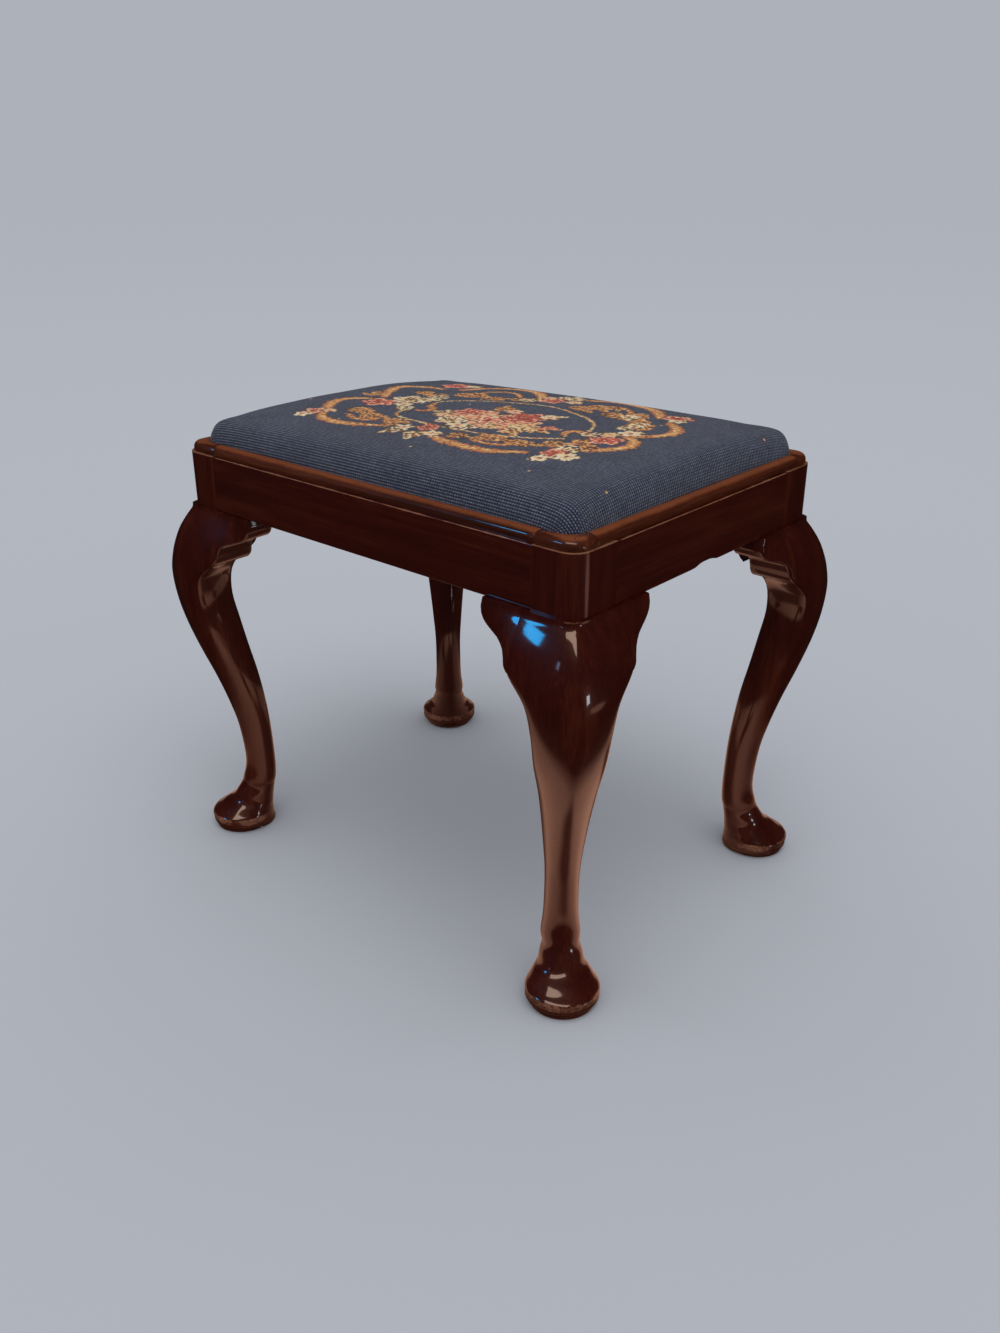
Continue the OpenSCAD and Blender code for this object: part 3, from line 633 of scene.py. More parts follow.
mahogany = polished_wood(
    "polished_mahogany", dark=(0.012, 0.0011, 0.0005), middle=(0.036, 0.0032, 0.0012), light=(0.088, 0.017, 0.0040),
    bare=(0.24, 0.105, 0.060), streaks=0.12, pores=0.3, wear=(0.04, 0.7, 0.16), coat=0.8,
)
# a lighter copy for the mouldings: its bare orange on their tops is partly wear and partly painted light from above
rubbed_mahogany = polished_wood(
    "rubbed_mahogany", dark=(0.016, 0.0025, 0.0010), middle=(0.060, 0.012, 0.004), light=(0.15, 0.040, 0.012),
    bare=(0.18, 0.048, 0.015), streaks=0.35, pores=0.5, wear=(0.37, 0.35, 0.34), coat=0.6,
)
print("polished woods made")

# %% [markdown]
# A cabriole leg is cut from one thick post with a band saw along two sides of
# a template, then rounded with a spokeshave, so its section changes from a
# round foot, through a rounded diamond at the shank, to a square at the knee.
# One could sculpt it, or stretch a cube. Here a ring is laid down at the foot
# and extruded upward a little at a time, and each new ring is given the
# section of the leg at its height. Leg, foot and post are one piece of wood,
# so they end up in one mesh.

# %% The sections of a leg, from the floor up
PAD_H, PAD_IN, PAD_DIA = 60, 21, 70
ANKLE_FRONT, ANKLE_BACK, ANKLE_ACROSS = -27.8, -62.1, 29.4
KNEE_OUT, KNEE_BACK, KNEE_ACROSS = 28.2, 28.2 - 64, 82
KNEE_REACH, BLOCK_DROP, BLOCK_L, BLOCK_PROUD = 53, 54, 45, 5
BLOCK_BACK = -KNEE_REACH * ROOT2
KNEE_TOP = RAIL_Z / MM


def mix(a, b, t):
    return a + (b - a) * t


def foot_row(h, f, b, w):
    front, back = mix(ANKLE_FRONT, PAD_DIA / 2 - PAD_IN, f), mix(ANKLE_BACK, -PAD_DIA / 2 - PAD_IN, b)
    return [PAD_H * h, front, back, (front + back) / 2, mix(ANKLE_ACROSS, PAD_DIA, w) / 2, 2, 2]


def shank_row(h, f, b, m, w, n):
    height, half = PAD_H + (KNEE_TOP - PAD_H) * h, mix(ANKLE_ACROSS, KNEE_ACROSS, w) / 2
    front, back = mix(ANKLE_FRONT, KNEE_OUT, f), mix(ANKLE_BACK, KNEE_BACK, b)
    return [height, front, back, mix(back, front, m), half, n, n]


def knee_row(h, f, b, m, w, n):
    front, back = KNEE_OUT * f, BLOCK_BACK * b
    return [KNEE_TOP - BLOCK_DROP * h, front, back, mix(back, front, m), KNEE_REACH * w, n, mix(n, 1.5, 0.5)]


# shares of the height, of the reach to the front and to the back, then where
# the middle lies, the width and how round the section is
FOOT = [
    (0.03, 0.86, 0.86, 0.75), (0.072, 0.87, 0.85, 0.72), (0.11, 0.96, 1.02, 0.98), (0.17, 0.97, 1.05, 0.98),
    (0.27, 0.98, 1.05, 1.00), (0.36, 0.81, 1.02, 0.80), (0.45, 0.64, 0.89, 0.60), (0.56, 0.41, 0.78, 0.37),
    (0.70, 0.26, 0.55, 0.27), (0.85, 0.13, 0.27, 0.14),
]
SHANK = [
    (0.00, 0.04, -0.01, 0.45, 0.15, 2.0), (0.07, -0.04, -0.03, 0.49, 0.06, 2.0), (0.20, 0.03, 0.04, 0.51, 0.05, 2.0),
    (0.30, 0.18, 0.17, 0.50, 0.14, 1.9), (0.40, 0.38, 0.37, 0.50, 0.26, 1.8), (0.50, 0.62, 0.64, 0.50, 0.41, 1.65),
    (0.60, 0.83, 0.89, 0.50, 0.62, 1.5), (0.69, 0.96, 1.09, 0.49, 0.74, 1.42), (0.775, 1.01, 1.00, 0.45, 0.95, 1.36),
]
KNEE = [
    (1.00, 0.95, 0.65, 0.338, 0.972, 1.3), (0.74, 0.81, 0.76, 0.33, 1.04, 1.22), (0.48, 0.59, 0.93, 0.39, 1.03, 1.17),
    (0.24, 0.28, 1.00, 0.386, 0.98, 1.15), (0.09, 0.05, 1.00, 0.35, 0.95, 1.15), (0.00, 0.02, 1.00, 0.34, 0.943, 1.15),
]
shares = [(foot_row, FOOT), (shank_row, SHANK), (knee_row, KNEE)]
leg_rows = np.array([kind(*row) for kind, rows in shares for row in rows])
KNEE_FIRST, LAST_ROW = len(FOOT) + len(SHANK), len(leg_rows) - 1


def between(p0, p1, p2, p3, f):
    """A smooth curve from p1 to p2 that leaves the way p0 came and arrives on the way to p3."""
    return 0.5 * (2 * p1 + (p2 - p0) * f + (2 * p0 - 5 * p1 + 4 * p2 - p3) * f**2 + (3 * p1 - p0 - 3 * p2 + p3) * f**3)


def row_at(u):
    """The row of a leg at u, counted in rows."""
    i = min(int(u), LAST_ROW - 1)
    return between(*(leg_rows[k] for k in (max(i - 1, 0), i, i + 1, min(i + 2, LAST_ROW))), u - i)


def section(row, count):
    """The outline of a leg at one row: a rounded diamond across the diagonal of the corner."""
    height, front, back, middle, half, n_front, n_back = row
    angle = np.arange(count) * 2 * math.pi / count
    c, s = np.cos(angle), np.sin(angle)
    n = np.where(c >= 0, n_front, n_back)
    out = middle + np.where(c >= 0, front - middle, middle - back) * np.sign(c) * np.abs(c) ** (2 / n)
    side = half * np.sign(s) * np.abs(s) ** (2 / n)
    inward_x, inward_y = (side - out) / ROOT2, (-side - out) / ROOT2
    ring = np.stack([HALF_L - inward_x * MM, -HALF_D + inward_y * MM, np.full(count, height * MM)], 1)
    soften = min(max((1.75 - n_front) / 0.4, 0), 1) * np.maximum(c, 0)[:, None] ** 2
    for _ in range(10):
        ring = mix(ring, (np.roll(ring, 1, 0) + 2 * ring + np.roll(ring, -1, 0)) / 4, soften)
    return ring


print("knee stands", KNEE_OUT, "mm out from the corner, ankle", -ANKLE_FRONT, "mm in")

# %% Extrude one leg, ring by ring
AROUND, STEPS = 56, 92
ring_rows = [row_at(k * LAST_ROW / STEPS) for k in range(STEPS + 1)]
rings = [section(row, AROUND) for row in ring_rows]


def one_by_one(places):
    """A rule for reshape() that gives the corners their places in turn."""
    places = iter(places)
    return lambda v: next(places)


def next_ring(before, ring):
    """A rule that moves the corners that are selected onto the ring, each above where it stood before."""
    return lambda v: ring[((before[:, :2] - np.array(v.co)[:2]) ** 2).sum(1).argmin()] if v.select else v.co


leg = start(bpy.ops.mesh.primitive_circle_add, "leg_front_right_wood", vertices=AROUND, radius=PAD_DIA / 2 * MM)
bpy.ops.mesh.select_all(action="SELECT")
reshape(leg, one_by_one(rings[0]))
for below, above in zip(rings, rings[1:]):
    extrude(z=1 * MM)
    reshape(leg, next_ring(below, above))
bpy.ops.mesh.edge_face_add()
pick(leg, "edges", lambda e: e.is_boundary and on(2, rings[0][0, 2])(e))
bpy.ops.mesh.edge_face_add()
print("leg", len(leg.data.vertices), "corners before its knee is cut")

# %% [markdown]
# Under the rails the knee is sawn flat on two sides, 53 mm in from the corner,
# for the knee blocks to be glued on. Two bisect cuts do the same, and fill the
# sawn faces.

# %% Saw the knee flat for its blocks
JOINT_X, JOINT_Y = HALF_L - KNEE_REACH * MM, -HALF_D + KNEE_REACH * MM
for normal, spot in (((-1, 0, 0), (JOINT_X, 0, 0)), ((0, 1, 0), (0, JOINT_Y, 0))):
    bpy.ops.mesh.select_all(action="SELECT")
    bpy.ops.mesh.bisect(plane_co=spot, plane_no=normal, use_fill=True, clear_outer=True)
close_up(leg)
print("leg", len(leg.data.vertices), "corners,", round(max(p[2] for p in points_of(leg)), 4), "m high")

# %% [markdown]
# The post above the knee is the same timber, left square for the rails'
# joints, with only its outer corner rounded. A cube does for it, with one
# bevelled edge. The foot stands on a thin turned disc.

# %% The post, the disc under the foot, and one leg in one mesh
post = block("post", (HALF_L - POST_W, -HALF_D, RAIL_Z - 0.5 * MM), (HALF_L, -HALF_D + POST_D, RAIL_TOP))
bevel(post, lambda e: along(2)(e) and on(0, HALF_L)(e) and on(1, -HALF_D)(e), CORNER_R, 10)
divide(post, along(2), 15)
close_up(post)

DISC_H, DISC_R, DISC_EASED = 4 * MM, 31 * MM, 0.8 * MM
disc_at = (HALF_L - PAD_IN / ROOT2 * MM, -HALF_D + PAD_IN / ROOT2 * MM, DISC_H / 2)
disc = start(bpy.ops.mesh.primitive_cylinder_add, "disc", vertices=48, radius=DISC_R, depth=DISC_H, location=disc_at)
bevel(disc, lambda e: on(2, 0)(e) or on(2, DISC_H)(e), DISC_EASED, 2)
close_up(disc)

take(leg)
for other in (post, disc):
    other.select_set(True)
bpy.ops.object.join()
smooth(leg, 40)
print("leg with its post and disc", len(leg.data.polygons), "faces")

# %% [markdown]
# A leg rubs on the rim of its foot and on the ledge of its knee, and the top
# edge of its post is worn through. The three other legs are mirrored copies.

# %% Wear and grain of the leg, and its three copies
LEGS = {"leg_front_right": (1, 1), "leg_front_left": (-1, 1), "leg_back_right": (1, -1), "leg_back_left": (-1, -1)}
rim_rings = [ring for row, ring in zip(ring_rows, rings) if abs(row[4] - PAD_DIA / 2) < 0.6]
worn_lines = [p for ring in rim_rings for p in ring if 10 * MM < p[2] < 20 * MM]
worn_lines += [p for p in rings[-1] if abs((HALF_L - p[0]) - (p[1] + HALF_D)) < 16 * MM and p[0] > HALF_L - 12 * MM]
turn_x, turn_y = HALF_L - CORNER_R, -HALF_D + CORNER_R
post_rim = [(x, -HALF_D, RAIL_TOP) for x in np.arange(HALF_L - POST_W, turn_x, MM)]
for a in np.radians(range(-90, 1, 3)):
    post_rim.append((turn_x + CORNER_R * math.cos(a), turn_y + CORNER_R * math.sin(a), RAIL_TOP))
post_rim += [(HALF_L, y, RAIL_TOP) for y in np.arange(turn_y, -HALF_D + POST_D + MM, MM)]

legs = {name: leg if side == (1, 1) else copy_mirrored(leg, name + "_wood", *side) for name, side in LEGS.items()}
for name, side in LEGS.items():
    write_wear(legs[name], on_side(worn_lines, *side), on_side(post_rim, *side))
    write_grain(legs[name], "z")
    dress(legs[name], mahogany, "frame", "mahogany", name)

# %% [markdown]
# A knee block is a little carved bracket, glued under the rail against the
# leg, that carries the curve of the knee out into a scrolled ear. Its face
# starts level with the leg and falls back to near the rail at its tip. A grid
# is shaped to that face and extruded back to the inner side of the rail, and
# its front edge is rounded over.

# %% The outline and the depth of a knee block
block_outline = np.array([
    (0.96, 0), (1, 0.14), (0.99, 0.25), (0.94, 0.34), (0.85, 0.41), (0.70, 0.46), (0.50, 0.50),
    (0.35, 0.56), (0.25, 0.63), (0.19, 0.74), (0.155, 0.87), (0.09, 0.95), (0, 1),
])


def leg_stands_out(row):
    """How far a leg stands out before the rail's face at the joint with the block, found by halving."""
    height, front, back, middle, half, n, n_back = row
    low, high = (half + middle) / ROOT2, KNEE_REACH
    if (half - middle) / ROOT2 < KNEE_REACH:
        return low
    for _ in range(30):
        p = (low + high) / 2
        s, t = (p - KNEE_REACH) / ROOT2, (p + KNEE_REACH) / ROOT2
        outside = (abs(s - middle) / (front - middle)) ** n + (t / half) ** n - 1 > 0
        low, high = (low, p) if outside else (p, high)
    return (low + high) / 2


side_rows = [row_at(mix(LAST_ROW, KNEE_FIRST, k / 24)) for k in range(25)]
side_drop = np.array([(KNEE_TOP - r[0]) / BLOCK_DROP for r in side_rows])
side_out = np.array([leg_stands_out(r) for r in side_rows])
print("the knee stands out", side_out.round(1)[::6], "mm at the joint, from the rail down")

# %% Model one knee block and copy it
COLUMNS, BLOCK_ROWS = 20, 36
EDGE_ROUND, EDGE_DEPTH = 4.0, 3.2


def block_point(v):
    """Lays the grid on the face: its x runs from the leg to the ear's edge, its y up to the rail."""
    s, drop = min(max(v.co.x + 0.5, 0), 1), min(max(0.5 - v.co.y, 0), 1)
    reach = max(np.interp(drop, block_outline[:, 1], block_outline[:, 0]) * BLOCK_L, 0.6)
    x = s**0.75 * reach
    out = np.interp(drop, side_drop, side_out)
    fall = min(x / BLOCK_L, 1)
    fall = fall * fall * (3 - 2 * fall)
    rounding = EDGE_DEPTH * (1 - math.sqrt(max(0.0, 1 - max(0.0, 1 - (reach - x) / EDGE_ROUND) ** 2)))
    out -= (out - BLOCK_PROUD) * fall + rounding
    return JOINT_X - x * MM, -HALF_D - out * MM, RAIL_Z - drop * BLOCK_DROP * MM


def knee_block(name):
    """The block beside the front right leg, on the long rail."""
    piece = start(bpy.ops.mesh.primitive_grid_add, name, x_subdivisions=COLUMNS, y_subdivisions=BLOCK_ROWS, size=1)
    reshape(piece, block_point)
    pick(piece, "faces", lambda f: True)
    extrude(y=RAIL_T)
    scale(1, 0, 1, (0, -HALF_D + RAIL_T, 0))
    return close_up(piece)


short_block = knee_block("knee_block_short_wood")
points = points_of(short_block)
place_points(short_block, np.stack([HALF_L - HALF_D - points[:, 1], HALF_L - HALF_D - points[:, 0], points[:, 2]], 1))
short_block.data.flip_normals()
for way, pattern, axis, joint in (("long", knee_block("long_block"), 0, JOINT_X), ("short", short_block, 1, JOINT_Y)):
    smooth(pattern, 50)
    lines = [p for p in arris_lines(pattern, 40) if abs(p[axis] - joint) > 4 * MM and p.z < RAIL_Z - 2 * MM]
    for leg_name, side in LEGS.items():
        name = f"knee_block{leg_name[3:]}_{way}"
        piece = copy_mirrored(pattern, name + "_wood", *side)
        write_wear(piece, on_side(lines, *side))
        write_grain(piece, "z")
        dress(piece, mahogany, "frame", "mahogany", name)
    bpy.data.objects.remove(pattern)

# %% [markdown]
# A rail is a planed board with a tenon at each end that goes into the posts.
# It is a cuboid whose ends are inset to the tenon and pulled out. Cuts across
# it give the material enough corners to fade the wear away from the arris,
# and the arris itself is taken off with a bevel, wide enough to catch light.
# A short rail has a shallow notch in the middle of its lower edge.

# %% Rails
ARRIS, INSET = 0.8 * MM, 0.5 * MM
TENON_L, TENON_T, SHOULDER = 24 * MM, 10 * MM, 8 * MM
NOTCH_W, NOTCH_D = 36 * MM, 3 * MM
NOTCH_R = (NOTCH_W**2 / 4 + NOTCH_D**2) / (2 * NOTCH_D)
RAIL_H = RAIL_TOP - RAIL_Z


def notch(v):
    if abs(v.co.z - RAIL_Z) < 0.01 * MM and abs(v.co.x) < NOTCH_W / 2:
        return v.co.x, v.co.y, RAIL_Z + NOTCH_D - NOTCH_R + math.sqrt(NOTCH_R**2 - v.co.x**2)
    return v.co


def rail(name, length, notched):
    """A rail along x on the front side, and the points of its arrises."""
    half = length / 2
    piece = block(name, (-half, -HALF_D, RAIL_Z), (half, -HALF_D + RAIL_T, RAIL_TOP))
    for end in (-1, 1):
        pick(piece, "faces", on(0, end * half))
        bpy.ops.mesh.inset(thickness=INSET)
        tenon = TENON_T / (RAIL_T - 2 * INSET), (RAIL_H - 2 * SHOULDER) / (RAIL_H - 2 * INSET)
        scale(1, *tenon, (end * half, -HALF_D + RAIL_T / 2, (RAIL_Z + RAIL_TOP) / 2))
        extrude(x=end * TENON_L)
    for axis, size, cuts in ((0, length, 47), (2, RAIL_H, 17)):
        divide(piece, lambda e: along(axis)(e) and e.calc_length() > size * 0.9, cuts)
    if notched:
        reshape(piece, notch)
    close_up(piece)
    lines = [p for p in arris_lines(piece) if abs(p.x) < half - 0.1 * MM]

    def arris(e):
        a, b = (v.co for v in e.verts)
        on_face = any(abs(a.y - y) < 0.1 * MM for y in (-HALF_D, -HALF_D + RAIL_T))
        return abs(a.x - b.x) > 0.1 * MM and steep(e) and max(abs(a.x), abs(b.x)) < half + 0.1 * MM and on_face

    take(piece, edit=True)
    bevel(piece, arris, ARRIS, 3)
    close_up(piece)
    return smooth(piece, 30), lines


def turned(points):
    """From the front side of the stool to its right side."""
    points = np.atleast_2d(np.array(points, float))
    return np.stack([HALF_L - (points[:, 1] + HALF_D), points[:, 0], points[:, 2]], 1)


def top_lines(lines):
    """Those points of the arris lines that lie along the top outer edge, which is worn all along."""
    top = [p for p in lines if p.z > RAIL_TOP - 0.1 * MM]
    return [p for p in top if HALF_L - abs(p.x) < 2 * MM or HALF_D - abs(p.y) < 2 * MM]


def dress_rail(piece, lines, name, axis):
    write_wear(piece, lines, top_lines(lines))
    write_grain(piece, axis)
    dress(piece, mahogany, "frame", "mahogany", name)


LONG, SHORT = 2 * (HALF_L - POST_W), 2 * (HALF_D - POST_D)
front_rail, lines = rail("rail_front_wood", LONG, False)
back_rail = copy_mirrored(front_rail, "rail_back_wood", side_y=-1)
dress_rail(front_rail, lines, "rail_front", "x")
dress_rail(back_rail, on_side(lines, 1, -1), "rail_back", "x")

right_rail, lines = rail("rail_right_wood", SHORT, True)
place_points(right_rail, turned(points_of(right_rail)))
left_rail = copy_mirrored(right_rail, "rail_left_wood", side_x=-1)
dress_rail(right_rail, on_side(turned(lines), 1, 1), "rail_right", "y")
dress_rail(left_rail, on_side(turned(lines), -1, 1), "rail_left", "y")

# %% [markdown]
# The moulding is a strip of mahogany, 11 mm wide and 10 mm high, set back
# 2.5 mm from the rail's face, with its outer top edge rounded to a quarter
# circle. It is nailed on in lengths: a straight one on each rail, and a short
# elbow on each post, whose inner corner is hollowed for the seat. The joints
# between them are part of the look, so each length is its own piece with its
# ends just eased.

# %% Straight mouldings
MOULD_SET, MOULD_W, MOULD_H, MOULD_R, WELL_R = 2.5 * MM, 11 * MM, 10 * MM, 6.5 * MM, 16.5 * MM
MOULD_OUT, WELL_IN = -HALF_D + MOULD_SET, -HALF_D + MOULD_SET + MOULD_W
MOULD_EASED, ELBOW_SHORT = 0.35 * MM, MOULD_SET + MOULD_W + WELL_R
PIN_HOLE, PIN_IN, PIN_ALONG = 0.9 * MM, MOULD_SET + MOULD_W / 2, 8 * MM


def drill(piece, places):
    """Nail holes through a moulding, cut with thin cylinders."""
    size = dict(vertices=16, radius=PIN_HOLE, depth=3 * MOULD_H, location=(*places[0], RAIL_TOP))
    drills = start(bpy.ops.mesh.primitive_cylinder_add, "drill", **size)
    bpy.ops.mesh.select_all(action="SELECT")
    for before, after in zip(places, places[1:]):
        step = (after[0] - before[0], after[1] - before[1], 0)
        bpy.ops.mesh.duplicate_move(TRANSFORM_OT_translate={"value": step})
    deselect_all()
    apply_modifier(piece, "BOOLEAN", object=drills, operation="DIFFERENCE", solver="EXACT")
    bpy.data.objects.remove(drills)


def finish_moulding(piece, crest, pins):
    """Rounds the crest, eases the other edges and drills the pin holes."""
    bevel(piece, crest, MOULD_R, 8)
    bevel(piece, steep, MOULD_EASED, 2)
    close_up(piece)
    drill(piece, pins)
    return smooth(piece)


def moulding_strip(name, length, pins):
    piece = block(name, (-length / 2, MOULD_OUT, RAIL_TOP), (length / 2, WELL_IN, MOULD_TOP))
    divide(piece, along(0), 39)
    crest = lambda e: along(0)(e) and on(1, MOULD_OUT)(e) and on(2, MOULD_TOP)(e)
    return finish_moulding(piece, crest, [(x, -HALF_D + PIN_IN) for x in pins])


def dress_moulding(piece, axis, name, joints=()):
    """Mouldings are rubbed on top and painted lighter there, as lit from above, less so down their round; old polish
    stays beside the joints.
    """
    points = points_of(piece)
    # wear and painted light: the value is highest at the top and fades down the round
    rub = 1 - 1.3 * (MOULD_TOP - points[:, 2]) / ARRIS_REACH
    for across, place in joints:
        rub -= 0.55 * np.exp(-np.abs(np.abs(points[:, across]) - place) / (3.5 * MM))
    write_values(piece, "rub", "FLOAT", np.clip(rub, 0, 1))
    write_grain(piece, axis)
    dress(piece, rubbed_mahogany, "frame", "worn_mahogany", name)


front_strip = moulding_strip("moulding_front_wood", LONG, [i * LONG * 0.32 for i in (-1, 0, 1)])
back_strip = copy_mirrored(front_strip, "moulding_back_wood", side_y=-1)
right_strip = moulding_strip("moulding_right_wood", 2 * (HALF_D - ELBOW_SHORT), [i * SHORT * 0.25 for i in (-1, 1)])
place_points(right_strip, turned(points_of(right_strip)))
left_strip = copy_mirrored(right_strip, "moulding_left_wood", side_x=-1)
for piece, axis in ((front_strip, "x"), (back_strip, "x"), (right_strip, "y"), (left_strip, "y")):
    dress_moulding(piece, axis, piece.name[:-5])

# %% [markdown]
# An elbow has a round outside and a hollow inside, too close together for two
# bevels to leave clean faces. It is drawn as a plan instead: a circle's
# corners are laid on the outline, the face is filled and extruded upward, and
# only the top outer edge is bevelled to the moulding's round.

# %% Elbows on the posts


def arc_points(middle, radius, first, last):
    """Fifteen points on an arc about a spot on the corner's diagonal, angles in degrees."""
    angles = np.radians(np.linspace(first, last, 15))
    return [(middle + radius * math.cos(a), middle + radius * math.sin(a)) for a in angles]


def elbow(name):
    """The moulding on the front right post, 46 mm along the long side and 30 mm along the short one."""
    outside = [(MOULD_SET, ELBOW_SHORT), *arc_points(CORNER_R, CORNER_R - MOULD_SET, 180, 270), (POST_W, MOULD_SET)]
    plan = outside + [(POST_W, MOULD_SET + MOULD_W), *arc_points(ELBOW_SHORT, WELL_R, 270, 180)]
    piece = start(bpy.ops.mesh.primitive_circle_add, name, vertices=len(plan), radius=0.02)
    reshape(piece, one_by_one([(HALF_L - x, -HALF_D + y, RAIL_TOP) for x, y in plan]))
    bpy.ops.mesh.select_all(action="SELECT")
    bpy.ops.mesh.edge_face_add()
    extrude(z=MOULD_H)

    def on_outside(v):
        spot = (HALF_L - v.co.x, v.co.y + HALF_D)
        return any(math.dist(spot, place) < 0.015 * MM for place in outside)

    crest = lambda e: on(2, MOULD_TOP)(e) and all(on_outside(v) for v in e.verts)
    turn = CORNER_R - (CORNER_R - PIN_IN) / ROOT2
    pins = [(HALF_L - POST_W + PIN_ALONG, -HALF_D + PIN_IN), (HALF_L - turn, -HALF_D + turn)]
    return finish_moulding(piece, crest, pins)


elbow_pattern = elbow("elbow")
for leg_name, side in LEGS.items():
    name = "moulding_corner" + leg_name[3:]
    piece = copy_mirrored(elbow_pattern, name + "_wood", *side)
    dress_moulding(piece, "x", name, [(0, HALF_L - POST_W), (1, HALF_D - ELBOW_SHORT)])
bpy.data.objects.remove(elbow_pattern)

# %% [markdown]
# The seat is a beech frame with webbing, hair stuffing and a calico under the
# needlework, so its top is a low dome that rounds over quickly at the edge.
# Years of use have moved the stuffing: the dome is a little higher at the right
# end and at the front. The same formula stands in the CAD model, and here it
# gives the height of the cover above any spot of the plan, in millimetres.

# %% The shape of the cushion
SEAT_X, SEAT_Y = (node_box("seat_cover")[1][:2] / MM).round(3)
SEAT_R = (WELL_R / MM) - (HALF_L / MM - MOULD_SET / MM - MOULD_W / MM - SEAT_X)
EDGE_Z, TURN_Z = MOULD_TOP / MM, node_box("seat_cover")[0][2] / MM
SHOULDER_H, SHOULDER_RUN, CROWN_H, CORNER_DROP = 25, 5, 5, 0.22
LEAN_L, LEAN_D, TWIST = 3.5, 2, 2


def edge_in(x, y):
    """How far a spot lies inside the seat's rounded outline; below zero outside it."""
    over_x, over_y = np.abs(x) - (SEAT_X - SEAT_R), np.abs(y) - (SEAT_Y - SEAT_R)
    return SEAT_R - np.hypot(np.maximum(over_x, 0), np.maximum(over_y, 0)) - np.minimum(np.maximum(over_x, over_y), 0)


def full_height(x, y):
    u, v = np.clip(x / SEAT_X, -1, 1), np.clip(y / SEAT_Y, -1, 1)
    dome = SHOULDER_H * (1 - CORNER_DROP * np.abs(u * v) ** 3) + CROWN_H * (1 - v * v)
    return dome + LEAN_L * u - LEAN_D * v + TWIST * u * v


def cushion_top(x, y):
    """Height of the cover; outside the outline the shoulder's slope runs on downward."""
    inside = edge_in(x, y)
    rise = np.where(inside > 0, 1 - np.exp(-np.maximum(inside, 0) / SHOULDER_RUN), inside / SHOULDER_RUN)
    return EDGE_Z + full_height(x, y) * rise


print("seat", 2 * SEAT_X, "by", 2 * SEAT_Y, "mm, its middle at", round(float(cushion_top(0.0, 0.0)), 1), "mm")

# %% [markdown]
# Canvas work is a grid of equal stitches, nine or ten to the inch. Pulled over a
# dome it can't stretch along its threads, but its squares can lean into
# diamonds, which is why the rows bend near the corners of an old seat. So the
# canvas isn't projected from above: it is laid over the dome as a net of
# points, two stitches apart, and every thread between two points is moved back
# to its length again and again, until the net lies at rest.

# %% Lay the canvas over the cushion
STITCH = 2.7
NET = 2 * STITCH
ROUNDS, ROUNDS_QUICK, LEAN = 260, 60, 0.12


def net_line(profile, edge):
    """Places on the plan, a net square of canvas apart along a profile of the cushion and over its edge."""
    spots = np.linspace(0, edge, 2001)
    length = np.hypot(np.diff(spots), np.diff(profile(spots))).sum() + EDGE_Z - TURN_Z
    half = int(length / NET) + 2
    spots = np.linspace(0, 300, 3001)
    run = np.concatenate([[0], np.cumsum(np.hypot(np.diff(spots), np.diff(profile(spots))))])
    counts = np.arange(-half, half + 1)
    return half, np.sign(counts) * np.interp(np.abs(counts) * NET, run, spots)


NX, net_x = net_line(lambda s: cushion_top(s, 0 * s), SEAT_X)
NY, net_y = net_line(lambda s: cushion_top(0 * s, s), SEAT_Y)
net = np.stack(np.meshgrid(net_x, net_y, indexing="ij"), 2)


def on_cushion(plan):
    return np.concatenate([plan, cushion_top(plan[..., 0], plan[..., 1])[..., None]], 2)


def pull(plan, active, di, dj, length, strength):
    """Moves each pair of points that are a step apart back to a length, one pair in two at a time."""
    rows, columns = plan.shape[:2]
    i, j = np.meshgrid(np.arange(rows), np.arange(columns), indexing="ij")
    for turn in (0, 1):
        parity = (i if di else i + j) % 2
        use = (parity == turn) & (i + di < rows) & (j + dj < columns) & (j + dj >= 0)
        a, b = (i[use], j[use]), (i[use] + di, j[use] + dj)
        both = active[a] & active[b]
        a, b = (a[0][both], a[1][both]), (b[0][both], b[1][both])
        solid = on_cushion(plan)
        gap = solid[b] - solid[a]
        far = np.linalg.norm(gap, axis=1)
        move = 0.5 * strength * ((far - length) / far)[:, None] * gap[:, :2]
        plan[a] += move
        plan[b] -= move


def near_inside(plan):
    """The points on the seat, and two more rows round them."""
    near = edge_in(plan[..., 0], plan[..., 1]) > 0
    high, wide = near.shape
    for _ in range(2):
        padded = np.pad(near, 1)
        near = np.any([padded[i:i + high, j:j + wide] for i in range(3) for j in range(3)], axis=0)
    return near


for turn in range(ROUNDS):
    if turn % 10 == 0:
        active = near_inside(net)
    for di, dj in ((1, 0), (0, 1)):
        pull(net, active, di, dj, NET, 1)
    for dj in (1, -1):
        pull(net, active, 1, dj, NET * ROOT2, LEAN)
laid = on_cushion(net)
threads = np.linalg.norm(np.diff(laid, axis=0), axis=2)
print("canvas of", 2 * NX, "by", 2 * NY, "double stitches")
print("threads", threads.min().round(2), "to", threads.max().round(2), "mm")

# %% [markdown]
# Beyond the seat's outline the canvas turns down the side of the seat frame.
# There the net's extra length is measured down a straight wall instead. What
# lies outside the outline altogether is cut off, and its edge is extruded down
# the frame and turned under, where it is tacked; both come later.

# %% Turn the canvas down the side


def down_the_side(points):
    """Places the points outside the outline on the wall below it, keeping their length of canvas."""
    placed = points.copy()
    x, y = points[..., 0], points[..., 1]
    out = -edge_in(x, y)
    slope = full_height(x, y) / SHOULDER_RUN
    core_x, core_y = np.clip(x, SEAT_R - SEAT_X, SEAT_X - SEAT_R), np.clip(y, SEAT_R - SEAT_Y, SEAT_Y - SEAT_R)
    way = np.stack([x - core_x, y - core_y], -1)
    way /= np.maximum(np.linalg.norm(way, axis=-1, keepdims=True), 1e-6)
    beyond = out > 0
    height = np.maximum(EDGE_Z - out * np.sqrt(1 + slope**2), TURN_Z + 1)
    wall = np.stack([core_x + SEAT_R * way[..., 0], core_y + SEAT_R * way[..., 1], height], -1)
    placed[beyond] = wall[beyond]
    return placed, beyond


